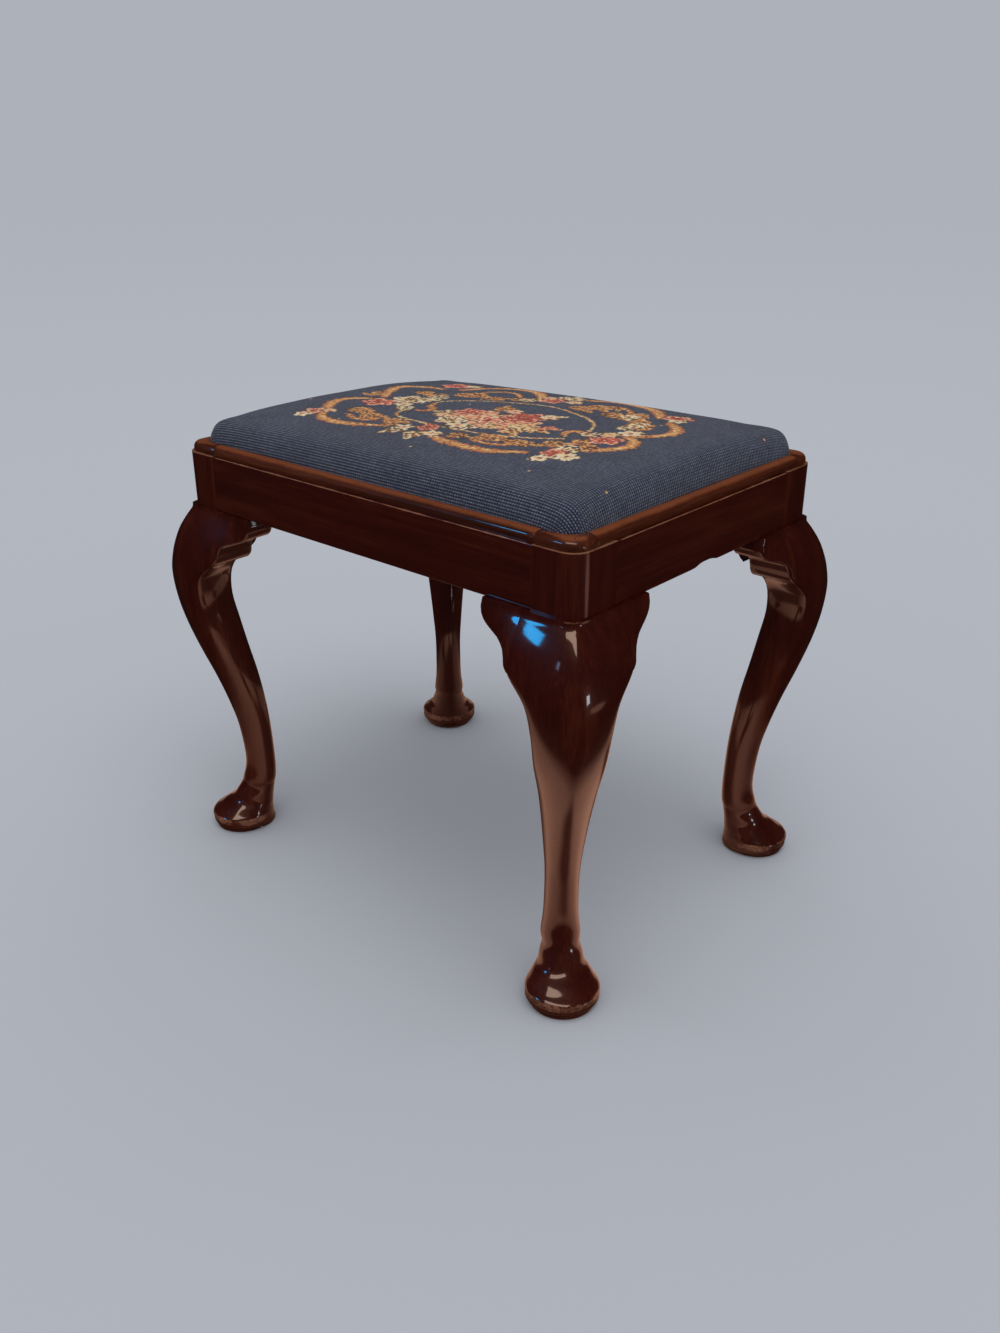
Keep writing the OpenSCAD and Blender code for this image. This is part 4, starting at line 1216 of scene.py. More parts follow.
covered, outside = down_the_side(laid)
grid = dict(x_subdivisions=2 * NX, y_subdivisions=2 * NY, size=1, calc_uvs=True)
cover = start(bpy.ops.mesh.primitive_grid_add, "needlework_cover", **grid)
mesh = bmesh.from_edit_mesh(cover.data)
stitch_map = mesh.loops.layers.uv.verify()
lost = set()
for v in mesh.verts:
    i, j = round((v.co.x + 0.5) * 2 * NX), round((v.co.y + 0.5) * 2 * NY)
    if outside[i, j]:
        lost.add(v.index)
    for corner in v.link_loops:
        corner[stitch_map].uv = (2 * (i - NX), 2 * (j - NY))
    v.co = covered[i, j] * MM
bmesh.update_edit_mesh(cover.data)
gone = pick(cover, "faces", lambda f: all(v.index in lost for v in f.verts))
bpy.ops.mesh.delete(type="FACE")
print(gone, "squares of canvas lie beyond the edge and are cut off")

# %% [markdown]
# What fills the cushion presses the canvas out from inside. Blender's cloth
# does this with pressure: the side is held where it is tacked, and everything
# else may swell for twenty frames. What comes out is scaled back to a
# millimetre or so, so that the seat keeps its fitted shape.

# %% Let the stuffing swell the cover
SWELL_CAP, SWELL_AIM, LUMPS, LUMP_SIZE = 6.0, 1.2, 0.7, 62
HELD_BELOW, PRESSURE, FRAMES = 2.5, 4.0, 20
deselect_all()
before = points_of(cover) / MM
inside = edge_in(before[:, 0], before[:, 1])
lumps = [noise.noise(Vector((x / LUMP_SIZE, y / LUMP_SIZE, 3.7))) for x, y in before[:, :2]]
before[:, 2] += np.clip((inside - 3) / 12, 0, 1) * (LUMPS * np.array(lumps) - SWELL_AIM)
place_points(cover, before * MM)


def swell(piece, held, pressure, frames):
    """Runs the cloth under pressure and returns where its points end, in millimetres."""
    pins = piece.vertex_groups.new(name="held")
    pins.add(np.flatnonzero(held).tolist(), 1.0, "REPLACE")
    cloth = piece.modifiers.new("stuffing", "CLOTH")
    for name, value in dict(
        quality=6, mass=0.25, tension_stiffness=30, compression_stiffness=30, shear_stiffness=8, bending_stiffness=2,
        vertex_group_mass="held", use_pressure=True, uniform_pressure_force=pressure,
    ).items():
        setattr(cloth.settings, name, value)
    cloth.settings.effector_weights.gravity = 0
    cloth.collision_settings.use_collision = False
    cloth.point_cache.frame_start, cloth.point_cache.frame_end = 1, frames
    for frame_number in range(1, frames + 1):
        scene.frame_set(frame_number)
    solved = piece.evaluated_get(bpy.context.evaluated_depsgraph_get()).to_mesh()
    ends = np.zeros(len(solved.vertices) * 3, np.float32)
    solved.vertices.foreach_get("co", ends)
    piece.modifiers.remove(cloth)
    piece.vertex_groups.clear()
    scene.frame_set(1)
    return ends.reshape(-1, 3).astype(float) / MM


motion = swell(cover, inside < HELD_BELOW, PRESSURE, FRAMES) - before
far = np.linalg.norm(motion, axis=1, keepdims=True)
eased = motion * (SWELL_CAP * np.tanh(far / SWELL_CAP) / np.maximum(far, 1e-9))
eased *= SWELL_AIM / eased[inside > 40, 2].mean()
place_points(cover, (before + eased) * MM)
most = np.linalg.norm(eased, axis=1).max()
print("the cover swelled by", far.mean().round(2), "mm, brought back to", most.round(2), "mm at most")

# %% [markdown]
# The layers under the cover will start from the same net. Then the net is
# divided into single stitches, and its cut edge goes down the frame and in
# under it.

# %% Divide the net into single stitches and turn the edge under
TURN_IN, COVER_T = 26, 2.0
layer_net = copy_mirrored(cover, "layer_net")
apply_modifier(cover, "SUBSURF", levels=1, render_levels=1, uv_smooth="NONE")
take(cover, edit=True)
pick(cover, "edges", lambda e: e.is_boundary)


def drop_to(height):
    """A rule that takes the selected corners straight down to a height."""
    return lambda v: (v.co.x, v.co.y, height) if v.select else v.co


extrude()
reshape(cover, drop_to(TURN_Z * MM))
extrude()
mesh = bmesh.from_edit_mesh(cover.data)
stitch_map = mesh.loops.layers.uv.verify()
for v in mesh.verts:
    if v.select:
        for axis, edge in enumerate(((SEAT_X - TURN_IN) * MM, (SEAT_Y - TURN_IN) * MM)):
            v.co[axis] = max(min(v.co[axis], edge), -edge)
mesh.normal_update()
for f in mesh.faces:
    heights = [v.co.z for v in f.verts]
    if max(heights) < (EDGE_Z + 0.2) * MM and min(heights) < (TURN_Z + 0.1) * MM:
        across = 0 if abs(f.normal.y) > abs(f.normal.x) else 1
        up = 2 if abs(f.normal.z) < 0.5 else 1
        for corner in f.loops:
            spot = [c / MM / STITCH for c in corner.vert.co]
            corner[stitch_map].uv = (spot[0 if up == 1 else across], spot[up])
bmesh.update_edit_mesh(cover.data)
bpy.ops.mesh.select_all(action="SELECT")
bpy.ops.mesh.remove_doubles(threshold=0.02 * MM)
bpy.ops.mesh.normals_make_consistent(inside=False)
deselect_all()
print("cover", len(cover.data.polygons), "stitches and turn-in faces")

# %% [markdown]
# The picture on the seat is the old kind of floral canvas work: a dark blue
# ground, a frame of gold scrolls with leafy backs, a flower in each corner,
# sprays of leaves, a thin inner ring, and a bunch of roses in the middle. A
# worker counts it out stitch by stitch from a chart. Here each square of the
# mesh is one stitch, and the chart is worked out in code: scrolls, leaves and
# roses are drawn over the plan of the seat, each in a few shades of wool, and
# every stitch takes the last colour that covers its middle.

# %% Wools and the blank chart
dice = np.random.default_rng(7)


def wool(r, g, b):
    """A colour as seen in daylight, 0 to 255, as a linear colour."""
    return np.array([((c / 255 + 0.055) / 1.055) ** 2.4 for c in (r, g, b)])


NAVY, NAVY_PALE = wool(76, 87, 116), wool(128, 136, 154)
GOLD, OCHRE, HONEY, BROWN = wool(232, 176, 108), wool(214, 148, 84), wool(244, 210, 152), wool(134, 90, 62)
CREAM, IVORY, SAND, OLIVE = wool(250, 230, 192), wool(254, 242, 218), wool(230, 202, 156), wool(120, 116, 88)
PINK, ROSE, RED, WINE = wool(250, 206, 178), wool(242, 168, 138), wool(222, 112, 90), wool(186, 78, 66)
RUST = wool(228, 134, 96)

centres = np.zeros(len(cover.data.polygons) * 3, np.float32)
cover.data.polygons.foreach_get("center", centres)
centres = centres.reshape(-1, 3).astype(float) / MM
px, py = centres[:, 0], centres[:, 1]
on_top = centres[:, 2] > EDGE_Z - 1
chart = np.tile(NAVY, (len(px), 1))
chart += (NAVY_PALE - NAVY) * dice.random(len(px))[:, None] * 0.5


def paint(where, *colours, shares=None):
    """Gives the stitches in a mask one of some colours, at random, in tenths or evenly."""
    spots = np.flatnonzero(where & on_top)
    choice = dice.choice(len(colours), len(spots), p=shares and [s / 10 for s in shares])
    chart[spots] = np.array(colours)[choice]


def curve(points, steps=14):
    """A smooth path through some points."""
    points = np.array(points, float)
    padded = np.vstack([2 * points[0] - points[1], points, 2 * points[-1] - points[-2]])
    parts = np.linspace(0, 1, steps, endpoint=False)
    return np.array([between(*padded[i:i + 4], f) for i in range(len(padded) - 3) for f in parts] + [points[-1]])


def beside(points):
    """Each stitch's distance from the path through some points, its side of it, and how far along it lies."""
    path = curve(points)
    lowest, highest = path.min(0) - 20, path.max(0) + 20
    near = (px > lowest[0]) & (px < highest[0]) & (py > lowest[1]) & (py < highest[1])
    away, side, run = np.full(len(px), 999.0), np.zeros(len(px)), np.zeros(len(px))
    gap = np.stack([px[near], py[near]], 1)[:, None] - path[None]
    far = np.linalg.norm(gap, axis=2)
    k = far.argmin(1)
    lengths = np.concatenate([[0], np.cumsum(np.linalg.norm(np.diff(path, axis=0), axis=1))])
    heading = np.gradient(path, axis=0)[k]
    offset = gap[np.arange(len(k)), k]
    away[near], run[near] = far[np.arange(len(k)), k], lengths[k] / lengths[-1]
    side[near] = np.sign(heading[:, 0] * offset[:, 1] - heading[:, 1] * offset[:, 0])
    return away, side, run, lengths[-1]


def scroll(width, leafy, *points):
    """A broad gold scroll; its leafy side, 1 for left of its way and -1 for right, is cut into teeth."""
    away, side, run, length = beside(points)
    taper = np.sin(np.pi * np.clip(run * 0.86 + 0.07, 0, 1)) ** 0.5
    teeth = np.abs(((run * length / 9.0) % 1) - 0.5) * 2
    half = width / 2 * taper * np.where(side == leafy, 0.72 + 0.55 * teeth, 0.85)
    paint(away < half + 1.6, BROWN, OCHRE, RUST, shares=[5, 3, 2])
    paint(away < half, OCHRE, GOLD, shares=[5, 5])
    paint(away < half * 0.62, GOLD, HONEY, shares=[7, 3])
    paint((away < half * 0.5) & (side == -leafy), HONEY, CREAM, GOLD, shares=[5, 2, 3])
    paint((away < 1.2) & (teeth > 0.8), BROWN, OCHRE)


def ring(*points, width=3.0):
    away = beside(points)[0]
    paint(away < width / 2 + 0.9, BROWN, OLIVE, OCHRE)
    paint(away < width / 2, SAND, GOLD, CREAM)


def leaf(x, y, length, heading, width, light, mid, dark):
    """A pointed leaf whose foot is at x, y, with a darker rib and underside."""
    c, s = math.cos(math.radians(heading)), math.sin(math.radians(heading))
    a, b = (px - x) * c + (py - y) * s, -(px - x) * s + (py - y) * c
    t = a / length
    half = width / 2 * np.sin(np.pi * np.clip(t, 0, 1)) ** 0.7
    body = (t > 0) & (t < 1) & (np.abs(b) < half)
    paint((t > -0.05) & (t < 1.05) & (np.abs(b) < half + 1.3), dark, OCHRE, shares=[7, 3])
    paint(body & (b > 0), light, mid, shares=[6, 4])
    paint(body & (b <= 0), mid, OCHRE, shares=[6, 4])
    paint(body & (np.abs(b) < 0.9) & (t < 0.7), dark, mid)


def spray(x, y, heading, count, length, light=HONEY, mid=GOLD, dark=BROWN, spread=42):
    """Leaves in pairs along a stalk, and one at its tip."""
    length *= 1.22
    c, s = math.cos(math.radians(heading)), math.sin(math.radians(heading))
    for k in range(count):
        foot = (x + c * k * length * 0.55, y + s * k * length * 0.55)
        for turn in (-1, 1):
            leaf(*foot, length * (1 - 0.12 * k), heading + turn * spread, length * 0.42, light, mid, dark)
    leaf(x + c * count * length * 0.5, y + s * count * length * 0.5, length, heading, length * 0.45, light, mid, dark)


def around(x, y, radius, turn):
    """Each stitch's distance from a flower's middle, in radii, and its angle about it."""
    dx, dy = px - x, py - y
    return np.hypot(dx, dy) / radius, np.arctan2(dy, dx) + turn


def rose(x, y, radius, turn, heart, middle, petals, rim, lobes=5):
    """A full rose: a dark heart, whorled petals and a pale rim that is cut into lobes."""
    r, a = around(x, y, radius, turn)
    edge = 0.86 + 0.16 * np.cos(lobes * a)
    whorl = np.sin(lobes * a + 7 * r)
    paint(r < edge + 1.6 / radius, WINE, BROWN, heart, shares=[3, 4, 3])
    paint(r < edge, rim, petals, shares=[6.5, 3.5])
    paint(r < edge * 0.80, petals, middle, shares=[6, 4])
    paint((r < edge * 0.84) & (whorl > 0.45), middle, rim, shares=[5, 5])
    paint((r < edge * 0.84) & (whorl < -0.62), heart, middle, shares=[6, 4])
    paint(r < 0.34, middle, heart, shares=[5, 5])
    paint(r < 0.16, heart, WINE, HONEY, shares=[5, 3, 2])


def blossom(x, y, radius, turn, *petals):
    """A small five-petalled flower."""
    r, a = around(x, y, radius, turn)
    edge = 0.55 + 0.45 * np.abs(np.cos(2.5 * a))
    paint(r < edge + 1.3 / radius, BROWN, SAND, OLIVE)
    paint(r < edge, *petals)
    paint(r < edge * 0.55, PINK, petals[0])
    paint(r < 0.22, GOLD, RED, BROWN)


print("chart of", int(on_top.sum()), "stitches on the top of the seat")

# %% Draw the frame of scrolls, the ring and the sprays
for strokes in [
    (12, -1, (-146, 78), (-168, 76), (-188, 60), (-184, 40), (-171, 20), (-156, 0)),
    (12, -1, (-158, -16), (-176, -32), (-176, -54), (-160, -76), (-148, -88)),
    (12, -1, (-151, -88), (-134, -106), (-108, -114), (-83, -111), (-57, -100)),
    (12, -1, (0, -92), (26, -103), (58, -109), (90, -107), (118, -92)),
    (12, -1, (156, -60), (172, -42), (180, -22), (172, -4), (158, 4)),
    (12, 1, (152, 82), (170, 68), (181, 46), (176, 26), (164, 12)),
    (13, 1, (-124, 88), (-112, 122), (-90, 141), (-62, 140), (-38, 121), (-16, 92)),
    (13, 1, (12, 132), (38, 149), (70, 148), (98, 136), (118, 116), (132, 96)),
    (6, 1, (-98, 92), (-84, 112), (-64, 112), (-48, 96)),
    (6, 1, (40, 112), (62, 122), (84, 112), (98, 94)),
    (6, -1, (-120, -84), (-98, -94), (-76, -88)),
    (6, -1, (44, -84), (68, -91), (92, -84)),
]:
    scroll(*strokes)
ring(
    (-90, 8), (-90, 22), (-80, 36), (-58, 54), (-34, 66), (-8, 74),
    (18, 73), (50, 62), (82, 47), (104, 27), (116, 4), (120, -16),
)
ring((-86, -28), (-86, -46), (-74, -60), (-48, -66), (-12, -68), (30, -66), (66, -60), (96, -50), (116, -36))
scroll(7, 1, (-88, 10), (-82, -6), (-70, -14), (-68, -26), (-78, -30))
scroll(7, -1, (118, -10), (108, -4), (104, -16), (112, -28))

for sprig in [
    (-112, 66, 8, 3, 15), (-104, 82, -24, 3, 14), (-70, 66, 40, 2, 13), (-44, 78, 60, 2, 12),
    (-128, 54, -50, 2, 14), (-150, 54, -40, 2, 12), (-172, -4, 120, 1, 16),
    (28, 96, -30, 3, 14), (40, 116, -40, 3, 14), (76, 88, -30, 3, 14), (98, 104, -46, 3, 14), (122, 76, -52, 2, 13),
    (64, 124, -60, 2, 11), (134, 60, -70, 2, 12),
    (-136, -62, -10, 3, 14), (-106, -78, 4, 3, 14), (-70, -80, 6, 2, 13), (-60, -92, 10, 1, 12),
    (46, -74, 4, 3, 14), (80, -74, 8, 3, 13), (112, -62, 30, 2, 13), (20, -84, 0, 2, 12),
    (144, 34, 84, 2, 13), (146, 12, 20, 2, 12), (134, -44, 60, 2, 12), (150, -40, -60, 2, 10),
]:
    spray(*sprig)
PALE = (IVORY, CREAM, OLIVE)
for sprig in [
    (-120, 46, -48, 2, 14), (-40, 84, 34, 2, 12), (100, 92, -60, 2, 13), (-8, 118, 84, 2, 14), (6, 120, 110, 2, 12),
    (-30, -92, -110, 2, 12), (-12, -94, -70, 2, 12), (0, -88, -40, 1, 12), (132, -56, -30, 2, 12),
    (130, 62, -50, 1, 14), (120, -14, 60, 1, 12), (-100, -20, -60, 2, 11), (-112, 26, -70, 2, 12),
    (128, 30, 40, 2, 11),
]:
    spray(*sprig, *PALE)

# %% Draw the flowers in the corners and along the sides
PINKS, PALES = (WINE, RED, ROSE, PINK), (BROWN, SAND, CREAM, IVORY)
WHITE, CREAM_PINK, PINK_CREAM = (CREAM, IVORY), (CREAM, PINK), (PINK, CREAM)
CREAM_HONEY, HONEY_CREAM = (CREAM, HONEY), (HONEY, CREAM)
FLOWERS = [
    (rose, -150, 108, 19, 0.3, PINKS), (blossom, -134, 118, 9, 0.2, WHITE),
    (rose, 144, 110, 17, 1.1, (WINE, RED, ROSE, CREAM)), (blossom, 152, 96, 9, 0.9, WHITE),
    (rose, -160, -94, 13, 0.8, (WINE, ROSE, PINK, CREAM)), (blossom, -148, -84, 8, 0.1, PINK_CREAM),
    (blossom, -160, -110, 9, 0.6, WHITE),
    (rose, 142, -80, 13, 0.1, (WINE, RUST, ROSE, PINK)), (blossom, 158, -84, 12, 0.9, WHITE),
    (blossom, 140, -98, 9, 0.5, WHITE),
    (rose, -124, 8, 21, 0.4, PALES), (rose, -138, -24, 19, 1.4, PINKS), (blossom, -110, -16, 10, 0.3, WHITE),
    (rose, 150, -16, 17, 0.5, PINKS), (blossom, 152, 20, 12, 0.2, WHITE), (blossom, 140, 4, 9, 0.7, CREAM_HONEY),
    (rose, -8, 104, 15, 0.9, PINKS), (blossom, -22, 116, 9, 0.4, PINK_CREAM), (blossom, 14, 112, 10, 0.1, CREAM_PINK),
    (rose, -14, -78, 12, 0.2, PINKS), (blossom, -34, -90, 9, 0.8, WHITE), (blossom, 4, -92, 9, 0.3, WHITE),
]
for flower, x, y, radius, turn, wools in FLOWERS:
    flower(x, y, radius, turn, *wools)
print(len(FLOWERS), "flowers round the edge")

# %% Draw the middle bouquet, so dense that no ground shows between its flowers
tangle = np.hypot((px - 10) / 60, (py + 18) / 38) + 0.14 * np.sin(px / 5 + py / 9) + 0.12 * np.sin(py / 4 - px / 7)
paint(tangle < 0.86, CREAM, HONEY, PINK, ROSE, shares=[1.5, 2.5, 3.5, 2.5])
paint((tangle < 0.86) & (np.sin(px / 2.6 + py / 8) * np.sin(py / 2.9) > 0.62), RUST, RED, GOLD)
for sprig in [
    (-8, 22, 118, 2, 13), (58, -20, -14, 2, 15, CREAM, HONEY), (50, -34, -40, 2, 13, CREAM, HONEY),
    (-40, -18, 190, 1, 13, CREAM, SAND, OLIVE), (46, 24, 50, 1, 13, *PALE), (72, -14, 6, 1, 12, PINK, ROSE, WINE),
    (10, -46, -70, 1, 12, *PALE),
]:
    spray(*sprig)
for flower, x, y, radius, turn, wools in [
    (rose, -30, -2, 17, 0.2, PINKS), (rose, -18, -42, 17, 0.8, PALES), (blossom, 2, -54, 11, 0.2, WHITE),
    (blossom, -40, -30, 9, 0.5, CREAM_PINK), (rose, 10, -18, 18, 1.3, (WINE, ROSE, PINK, CREAM)),
    (rose, 32, 10, 24, 0.6, (WINE, RED, RUST, PINK, 6)), (blossom, 4, 28, 10, 0.4, PINK_CREAM),
    (blossom, 48, 28, 9, 0.1, WHITE), (blossom, 52, -22, 11, 0.9, CREAM_HONEY),
    (blossom, 30, -40, 10, 0.4, HONEY_CREAM),
]:
    flower(x, y, radius, turn, *wools)

paint(dice.random(len(px)) < 0.0006, SAND, PINK)
chart = np.clip(chart * (1 + 0.10 * (dice.random((len(px), 1)) - 0.5)), 0, 1)
worked = np.linalg.norm(chart - NAVY, axis=1) > 0.12
print(int((worked & on_top).sum()), "coloured stitches")

# %% Write the chart on the mesh, one colour to a stitch
colours = cover.data.color_attributes.new("stitch_colour", "FLOAT_COLOR", "CORNER")
counts = np.zeros(len(cover.data.polygons), np.int32)
cover.data.polygons.foreach_get("loop_total", counts)
values = np.repeat(np.hstack([chart, np.ones((len(chart), 1))]), counts, axis=0)
colours.data.foreach_set("color", values.astype(np.float32).ravel())
apply_modifier(cover, "SOLIDIFY", thickness=COVER_T * MM, offset=-1.0)
smooth(cover, 60)
print("cover with its thickness", len(cover.data.polygons), "faces")

# %% [markdown]
# Each stitch of wool is a short slanted strand that stands up over the dark
# canvas between it and the next. The mesh has one face for a stitch, so the
# strand itself is left to the material: the UV map counts stitches, its
# fractions are a place within one, and from them the group works out the
# strand's height, the shade between strands, and a little fuzz.

# %% Node group: a stitch of wool
stitch_group, g_in, g_out = group(
    "wool_stitch", {"Stitches": None, "Slant": 0.4, "Fuzz": 0.3}, ["Height", "Shade", "Fade"],
)
stitches = g_in["Stitches"]
cell = node("SeparateXYZ", {0: vector("FRACTION", stitches)})
cx, cy = cell[0] - 0.5, cell[1] - 0.5
across = abs(cy * 2.0) ** 1.5
lengthways = abs((cx - cy * g_in["Slant"]) * 2.0) ** 3.2
strand = maths("MAXIMUM", 1.0 - (across + lengthways * 0.85), 0.0)
fuzz = cloud(stretched(stitches, 3, 11, 1), 1.0, 3.0, 0.6)
feed(g_out, {
    "Height": strand ** 0.55 + (fuzz - 0.5) * g_in["Fuzz"],
    "Shade": mapped(strand, 0.36, 0.96),
    "Fade": cloud(stitches, 0.05, 3.0, 0.55),
})
print("wool_stitch has", len(stitch_group.nodes), "nodes")

# %% Material: needlework
needlework, shader = new_material("wool_needlework")
uv = node("UVMap", out="UV", uv_map=cover.data.uv_layers[0].name)
dyed = attribute("stitch_colour", "Color")
stitch = node("Group", {"Stitches": uv, "Slant": 0.45, "Fuzz": 0.25}, node_tree=stitch_group)
# where strands part the gap colour is the wool darkened: partly the dark canvas showing, partly painted shade, lighter
# for pale wools
gap = mix_colour(1.0, dyed, mix_colour(0.7, (0.01, 0.008, 0.012), dyed), "MULTIPLY")
lit = mix_colour(stitch["Shade"], gap, dyed)
feed(shader, {
    "Base Color": mix_colour(1.0, lit, mapped(stitch["Fade"], 0.3, 0.7, 0.86, 1.12), "MULTIPLY"),
    "Roughness": 0.85, "Specular IOR Level": 0.25, "Sheen Weight": 0.12, "Sheen Roughness": 0.45,
    "Normal": relief(1.0, 0.0014, stitch["Height"]),
})
dress(cover, needlework, "seat", "needlepoint", "seat_cover")

# %% [markdown]
# Under the needlework lies a calico, which holds the curled hair of the
# stuffing in its shape. Both follow the cover from inside, so they start from
# its net: each is the net moved inward along its own normals, by the
# thickness of the layers above it and a small gap between them.

# %% Calico and stuffing
GAP, CALICO_T = 0.3, 0.6
HAIR_LOW = node_box("stuffing")[0][2] / MM
BEVEL_IN = 26


def layer(name, depth, low):
    """A copy of the net, moved inward along its normals, in millimetres, and no lower than a height."""
    piece = copy_mirrored(layer_net, name)
    points = points_of(piece) / MM - points_of(piece, "normal") * depth
    points[:, 2] = np.maximum(points[:, 2], low)
    place_points(piece, points * MM)
    take(piece, edit=True)
    return piece


calico = close_up(layer("calico_lining", COVER_T + GAP, node_box("calico")[0][2] / MM))
apply_modifier(calico, "SOLIDIFY", thickness=CALICO_T * MM, offset=-1.0)
smooth(calico, 60)

hair = layer("hair_stuffing", COVER_T + CALICO_T + 2 * GAP, HAIR_LOW)
pick(hair, "faces", lambda f: edge_in(f.calc_center_median().x / MM, f.calc_center_median().y / MM) < BEVEL_IN)
bpy.ops.mesh.delete(type="FACE")
pick(hair, "edges", lambda e: e.is_boundary)
extrude()
reshape(hair, drop_to(HAIR_LOW * MM))
bpy.ops.mesh.edge_face_add()
close_up(hair)
smooth(hair, 60)
bpy.data.objects.remove(layer_net)
print("calico", len(calico.data.polygons), "faces, stuffing", len(hair.data.polygons), "faces")

# %% [markdown]
# The stuffing rests on hessian, and the hessian on seven straps of webbing,
# three along the seat and four across it. Each strap runs over some of the
# crossing ones and under the others, so its height along its length steps up
# and down by the thickness of a strap.

# %% Hessian and webbing
BOARD_TOP = node_box("seat_frame_front")[1][2] / MM
WEB_T, WEB_W, WEB_STEP, WEB_FLAT, WEB_RAMP = 1.2, 50, 1.5, 28, 10
LONG_WEBS = ["long_front", "long_middle", "long_back"]
CROSS_WEBS = ["cross_outer_left", "cross_left", "cross_right", "cross_outer_right"]
crossing_x, crossing_y = (
    [float(sum(corner[axis] for corner in node_box("webbing_" + n))) / 2 / MM for n in names]
    for axis, names in ((0, CROSS_WEBS), (1, LONG_WEBS))
)


def strap(place, axis, crossings, spot, over):
    """A strap along x or y, over the crossings whose number and over make an odd sum."""
    half = node_box("webbing_" + place)[1]["xy".index(axis)] / MM
    knots, heights = [-half, crossings[0] - WEB_FLAT - WEB_RAMP], [0, 0]
    for k, c in enumerate(crossings):
        knots += [c - WEB_FLAT, c + WEB_FLAT]
        heights += [(k + over) % 2 * WEB_STEP] * 2
    knots += [crossings[-1] + WEB_FLAT + WEB_RAMP, half]
    heights += [0, 0]

    def laid_out(v):
        run, side = v.co.x * 2 * half, v.co.y * WEB_W
        top = BOARD_TOP + WEB_T + float(np.interp(run, knots, heights))
        return Vector((run, side + spot, top) if axis == "x" else (spot - side, run, top)) * MM

    grid = dict(x_subdivisions=2 * int(half / 2), y_subdivisions=10, size=1)
    piece = start(bpy.ops.mesh.primitive_grid_add, "web_" + place, **grid)
    reshape(piece, laid_out)
    close_up(piece)
    apply_modifier(piece, "SOLIDIFY", thickness=WEB_T * MM, offset=-1.0)
    smooth(piece, 60)
    write_grain(piece, axis)
    return piece


straps = {n: strap(n, "x", crossing_x, crossing_y[k], k % 2) for k, n in enumerate(LONG_WEBS)}
straps.update({n: strap(n, "y", crossing_y, crossing_x[k], (k + 1) % 2) for k, n in enumerate(CROSS_WEBS)})

hessian_low, hessian_high = node_box("hessian")
hessian = block("hessian_sheet", hessian_low, hessian_high)
bevel(hessian, along(2), BEVEL_IN * MM, 10)
close_up(hessian)
print(len(straps), "straps and a hessian", [round(c / MM, 1) for c in hessian_high - hessian_low], "mm")

# %% [markdown]
# Below everything a black cambric keeps the dust in. It is tacked with its
# edge over the turned-in needlework, pulls tight at each tack and hangs a
# little in the middle, as these cloths always do after some years.

# %% Dust cloth
CAMBRIC_T, CAMBRIC_SAG, PUCKER, TACK_STEP, TACK_IN, PUCKER_REACH = 0.5, 2.4, 0.22, 45, 10, 14
HANGS_X, HANGS_Y = 192, 128
cloth_low, cloth_high = node_box("dust_cloth")
half_x, half_y = cloth_high[0] / MM, cloth_high[1] / MM


def hung(v):
    """A corner of the grid, brought inside the rounded outline and let down."""
    x, y = v.co.x * 2 * half_x, v.co.y * 2 * half_y
    core_x, core_y = (max(min(c, half - SEAT_R), SEAT_R - half) for c, half in ((x, half_x), (y, half_y)))
    far = math.hypot(x - core_x, y - core_y)
    if far > SEAT_R:
        x, y = core_x + (x - core_x) * SEAT_R / far, core_y + (y - core_y) * SEAT_R / far
    inside_hole = max(1 - (x / HANGS_X) ** 2, 0) * max(1 - (y / HANGS_Y) ** 2, 0)
    margin = min(half_x - abs(x), half_y - abs(y))
    run = x if half_y - abs(y) < half_x - abs(x) else y
    pucker = PUCKER * math.sin(math.pi * run / TACK_STEP) ** 2 * math.exp(-abs(margin - TACK_IN) / PUCKER_REACH)
    return Vector((x, y, cloth_low[2] / MM - CAMBRIC_SAG * inside_hole ** 0.6 - pucker)) * MM


cambric = start(bpy.ops.mesh.primitive_grid_add, "dust_cloth_cambric", x_subdivisions=116, y_subdivisions=84, size=1)
reshape(cambric, hung)
close_up(cambric)
apply_modifier(cambric, "SOLIDIFY", thickness=CAMBRIC_T * MM, offset=1.0)
smooth(cambric, 60)
print("dust cloth down to", round(points_of(cambric)[:, 2].min() / MM, 2), "mm")

# %% [markdown]
# Every cloth is a weave: threads of the warp and the weft pass over and under
# each other by turns. The group gives the height of such a plain weave at any
# spot, one thread to a cell, and each cloth uses it with its own thread.

# %% Node group: plain weave
weave_group, g_in, g_out = group(
    "plain_weave", {"Place": None, "Threads": 1000.0, "Uneven": 0.3}, ["Height", "Shade", "Slub"],
)
place, threads = g_in["Place"], g_in["Threads"]
drift = (cloud(place, 90.0, 2.0) - 0.5) * g_in["Uneven"]
spot = node("SeparateXYZ", {0: place})
u, v = (maths("MULTIPLY_ADD", spot[axis], threads, drift) for axis in (0, 1))
fu, fv = (maths("FRACT", w) - 0.5 for w in (u, v))
over = maths("MODULO", maths("FLOOR", u) + maths("FLOOR", v), 2.0)


def bead(across, lengthways):
    """The height of a thread's bead: round across it, rising and falling along it."""
    return (1.0 - abs(across * 2.0) ** 2.0) * maths("COSINE", lengthways * math.pi)


warp_on_top = maths("GREATER_THAN", abs(over), 0.5)
height = node("Mix", {0: warp_on_top, 2: bead(fv, fu), 3: bead(fu, fv)}, data_type="FLOAT")
slub = cloud(stretched(place, 900, 60, 60), 1.0, 3.0, 0.6)
feed(g_out, {"Height": height, "Shade": mapped(height, 0.05, 0.6), "Slub": slub})
print("plain_weave has", len(weave_group.nodes), "nodes")

# %% Cloths, hair, beech and steel


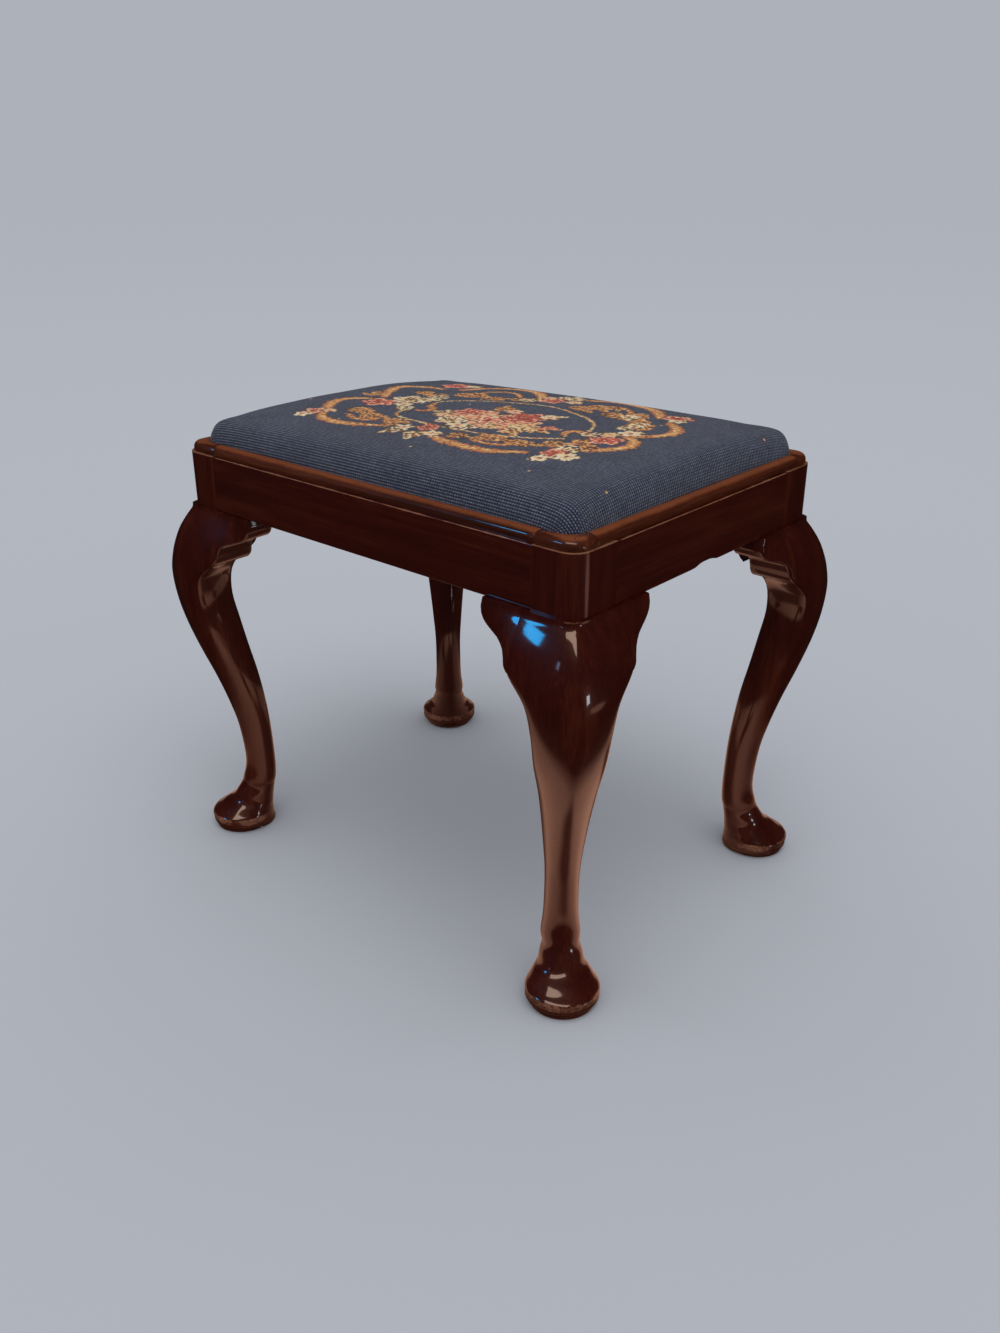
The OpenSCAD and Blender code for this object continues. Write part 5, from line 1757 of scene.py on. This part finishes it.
def woven(name, pale, dark, threads, uneven, depth, along_strap=False):
    """A cloth of a thread in two shades, laid out over the object or along a strap."""
    made, shader = new_material(name)
    place = turned_place(attribute("grain", "Vector"), -90, 0, 0) if along_strap else node("TexCoord", out="Object")
    cloth = node("Group", {"Place": place, "Threads": float(threads), "Uneven": uneven}, node_tree=weave_group)
    thread = mix_colour(cloth["Slub"], dark, pale)
    # painted shade: where the weave is low, between the threads, the thread's colour is darkened
    hollow = mix_colour(1.0, thread, (0.35, 0.33, 0.30), "MULTIPLY")
    feed(shader, {
        "Base Color": mix_colour(cloth["Shade"], hollow, thread), "Normal": relief(0.8, depth, cloth["Height"]),
        "Roughness": 0.9, "Specular IOR Level": 0.2, "Sheen Weight": 0.15,
    })
    return made


unbleached = woven("unbleached_calico", (0.62, 0.55, 0.42), (0.46, 0.39, 0.28), 1400, 0.25, 0.0002)
jute_cloth = woven("jute_hessian", (0.42, 0.28, 0.14), (0.25, 0.15, 0.07), 480, 0.5, 0.0006)
jute_web = woven("jute_webbing", (0.46, 0.32, 0.17), (0.28, 0.17, 0.08), 620, 0.35, 0.0006, along_strap=True)
black_cambric = woven("black_cambric", (0.030, 0.029, 0.030), (0.012, 0.012, 0.013), 1100, 0.25, 0.0002)

curled_hair, shader = new_material("curled_hair")
place = node("TexCoord", out="Object")
waves = {"Vector": place, "Scale": 190.0, "Distortion": 26.0, "Detail": 4.0, "Detail Scale": 2.2}
tangle = cloud(place, 160.0, 6.0, 0.72, 3.5) * node("TexWave", waves, "Fac")
browns = ramp(tangle, (0.12, (0.006, 0.005, 0.004)), (0.40, (0.045, 0.030, 0.020)), (0.75, (0.16, 0.11, 0.07)))
feed(shader, {"Base Color": browns, "Roughness": 0.75, "Normal": relief(1.0, 0.002, tangle)})


def bare_wood(name, *turn):
    """Unpolished beech whose grain runs along the way that turn, in degrees, brings to z."""
    made, shader = new_material(name)
    place = node("TexCoord", out="Object")
    colours = {"Dark": (0.17, 0.085, 0.038), "Middle": (0.34, 0.20, 0.10), "Light": (0.50, 0.33, 0.19)}
    look = {"Plank": turned_place(place, *turn), **colours, "Streaks": 0.25, "Pores": 0.35}
    wood = node("Group", look, node_tree=grain_group)
    grime = cloud(place, 22.0, 4.0, 0.6)
    feed(shader, {
        "Base Color": mix_colour(ramp(grime, (0.35, 0.0), (0.75, 0.55)), wood["Colour"], (0.12, 0.075, 0.040)),
        "Roughness": maths("MULTIPLY_ADD", grime, 0.3, 0.5), "Normal": relief(0.5, 0.0004, wood["Height"]),
    })
    return made


iron, shader = new_material("old_steel")
stain = cloud(node("TexCoord", out="Object"), 380.0, 5.0, 0.65)
rusty = ramp(stain, (0.40, (0.10, 0.10, 0.105)), (0.62, (0.055, 0.040, 0.034)), (0.78, (0.12, 0.045, 0.018)))
feed(shader, {
    "Base Color": rusty,
    "Metallic": ramp(stain, (0.40, 0.85), (0.70, 0.15)), "Roughness": maths("MULTIPLY_ADD", stain, 0.5, 0.25),
    "Normal": relief(0.5, 0.0002, stain),
})
print("materials", len(bpy.data.materials))

# %% Dress the inner layers
dress(calico, unbleached, "seat", "calico", "calico")
dress(hair, curled_hair, "seat", "hair", "stuffing")
dress(hessian, jute_cloth, "seat", "hessian", "hessian")
dress(cambric, black_cambric, "seat", "cambric", "dust_cloth")
for place, piece in straps.items():
    dress(piece, jute_web, "seat", "jute_webbing", "webbing_" + place)

for place, piece in straps.items():
    low, high = node_box("webbing_" + place)
    boards = ["seat_frame_left", "seat_frame_right"] if place in LONG_WEBS else ["seat_frame_front", "seat_frame_back"]

# %% Materials for the pieces that the CAD model keeps
for look, names in (
    (bare_wood("beech_along_x", 0, 90, 0), ["seat_frame_front", "seat_frame_back"]),
    (bare_wood("beech_along_y", 90, 0, 0), ["seat_frame_right", "seat_frame_left", "seat_dowels"]),
    (bare_wood("beech_diagonal", 90, -45, 0), ["brace_front_right", "brace_back_left"]),
    (bare_wood("beech_other_diagonal", 90, 45, 0), ["brace_front_left", "brace_back_right"]),
    (iron, ["moulding_pins", "brace_screws", "webbing_tacks", "cover_tacks"]),
):
    for name in names:
        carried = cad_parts[name].data
        carried.materials.clear()
        carried.materials.append(look)
    print(look.name, "on", names)
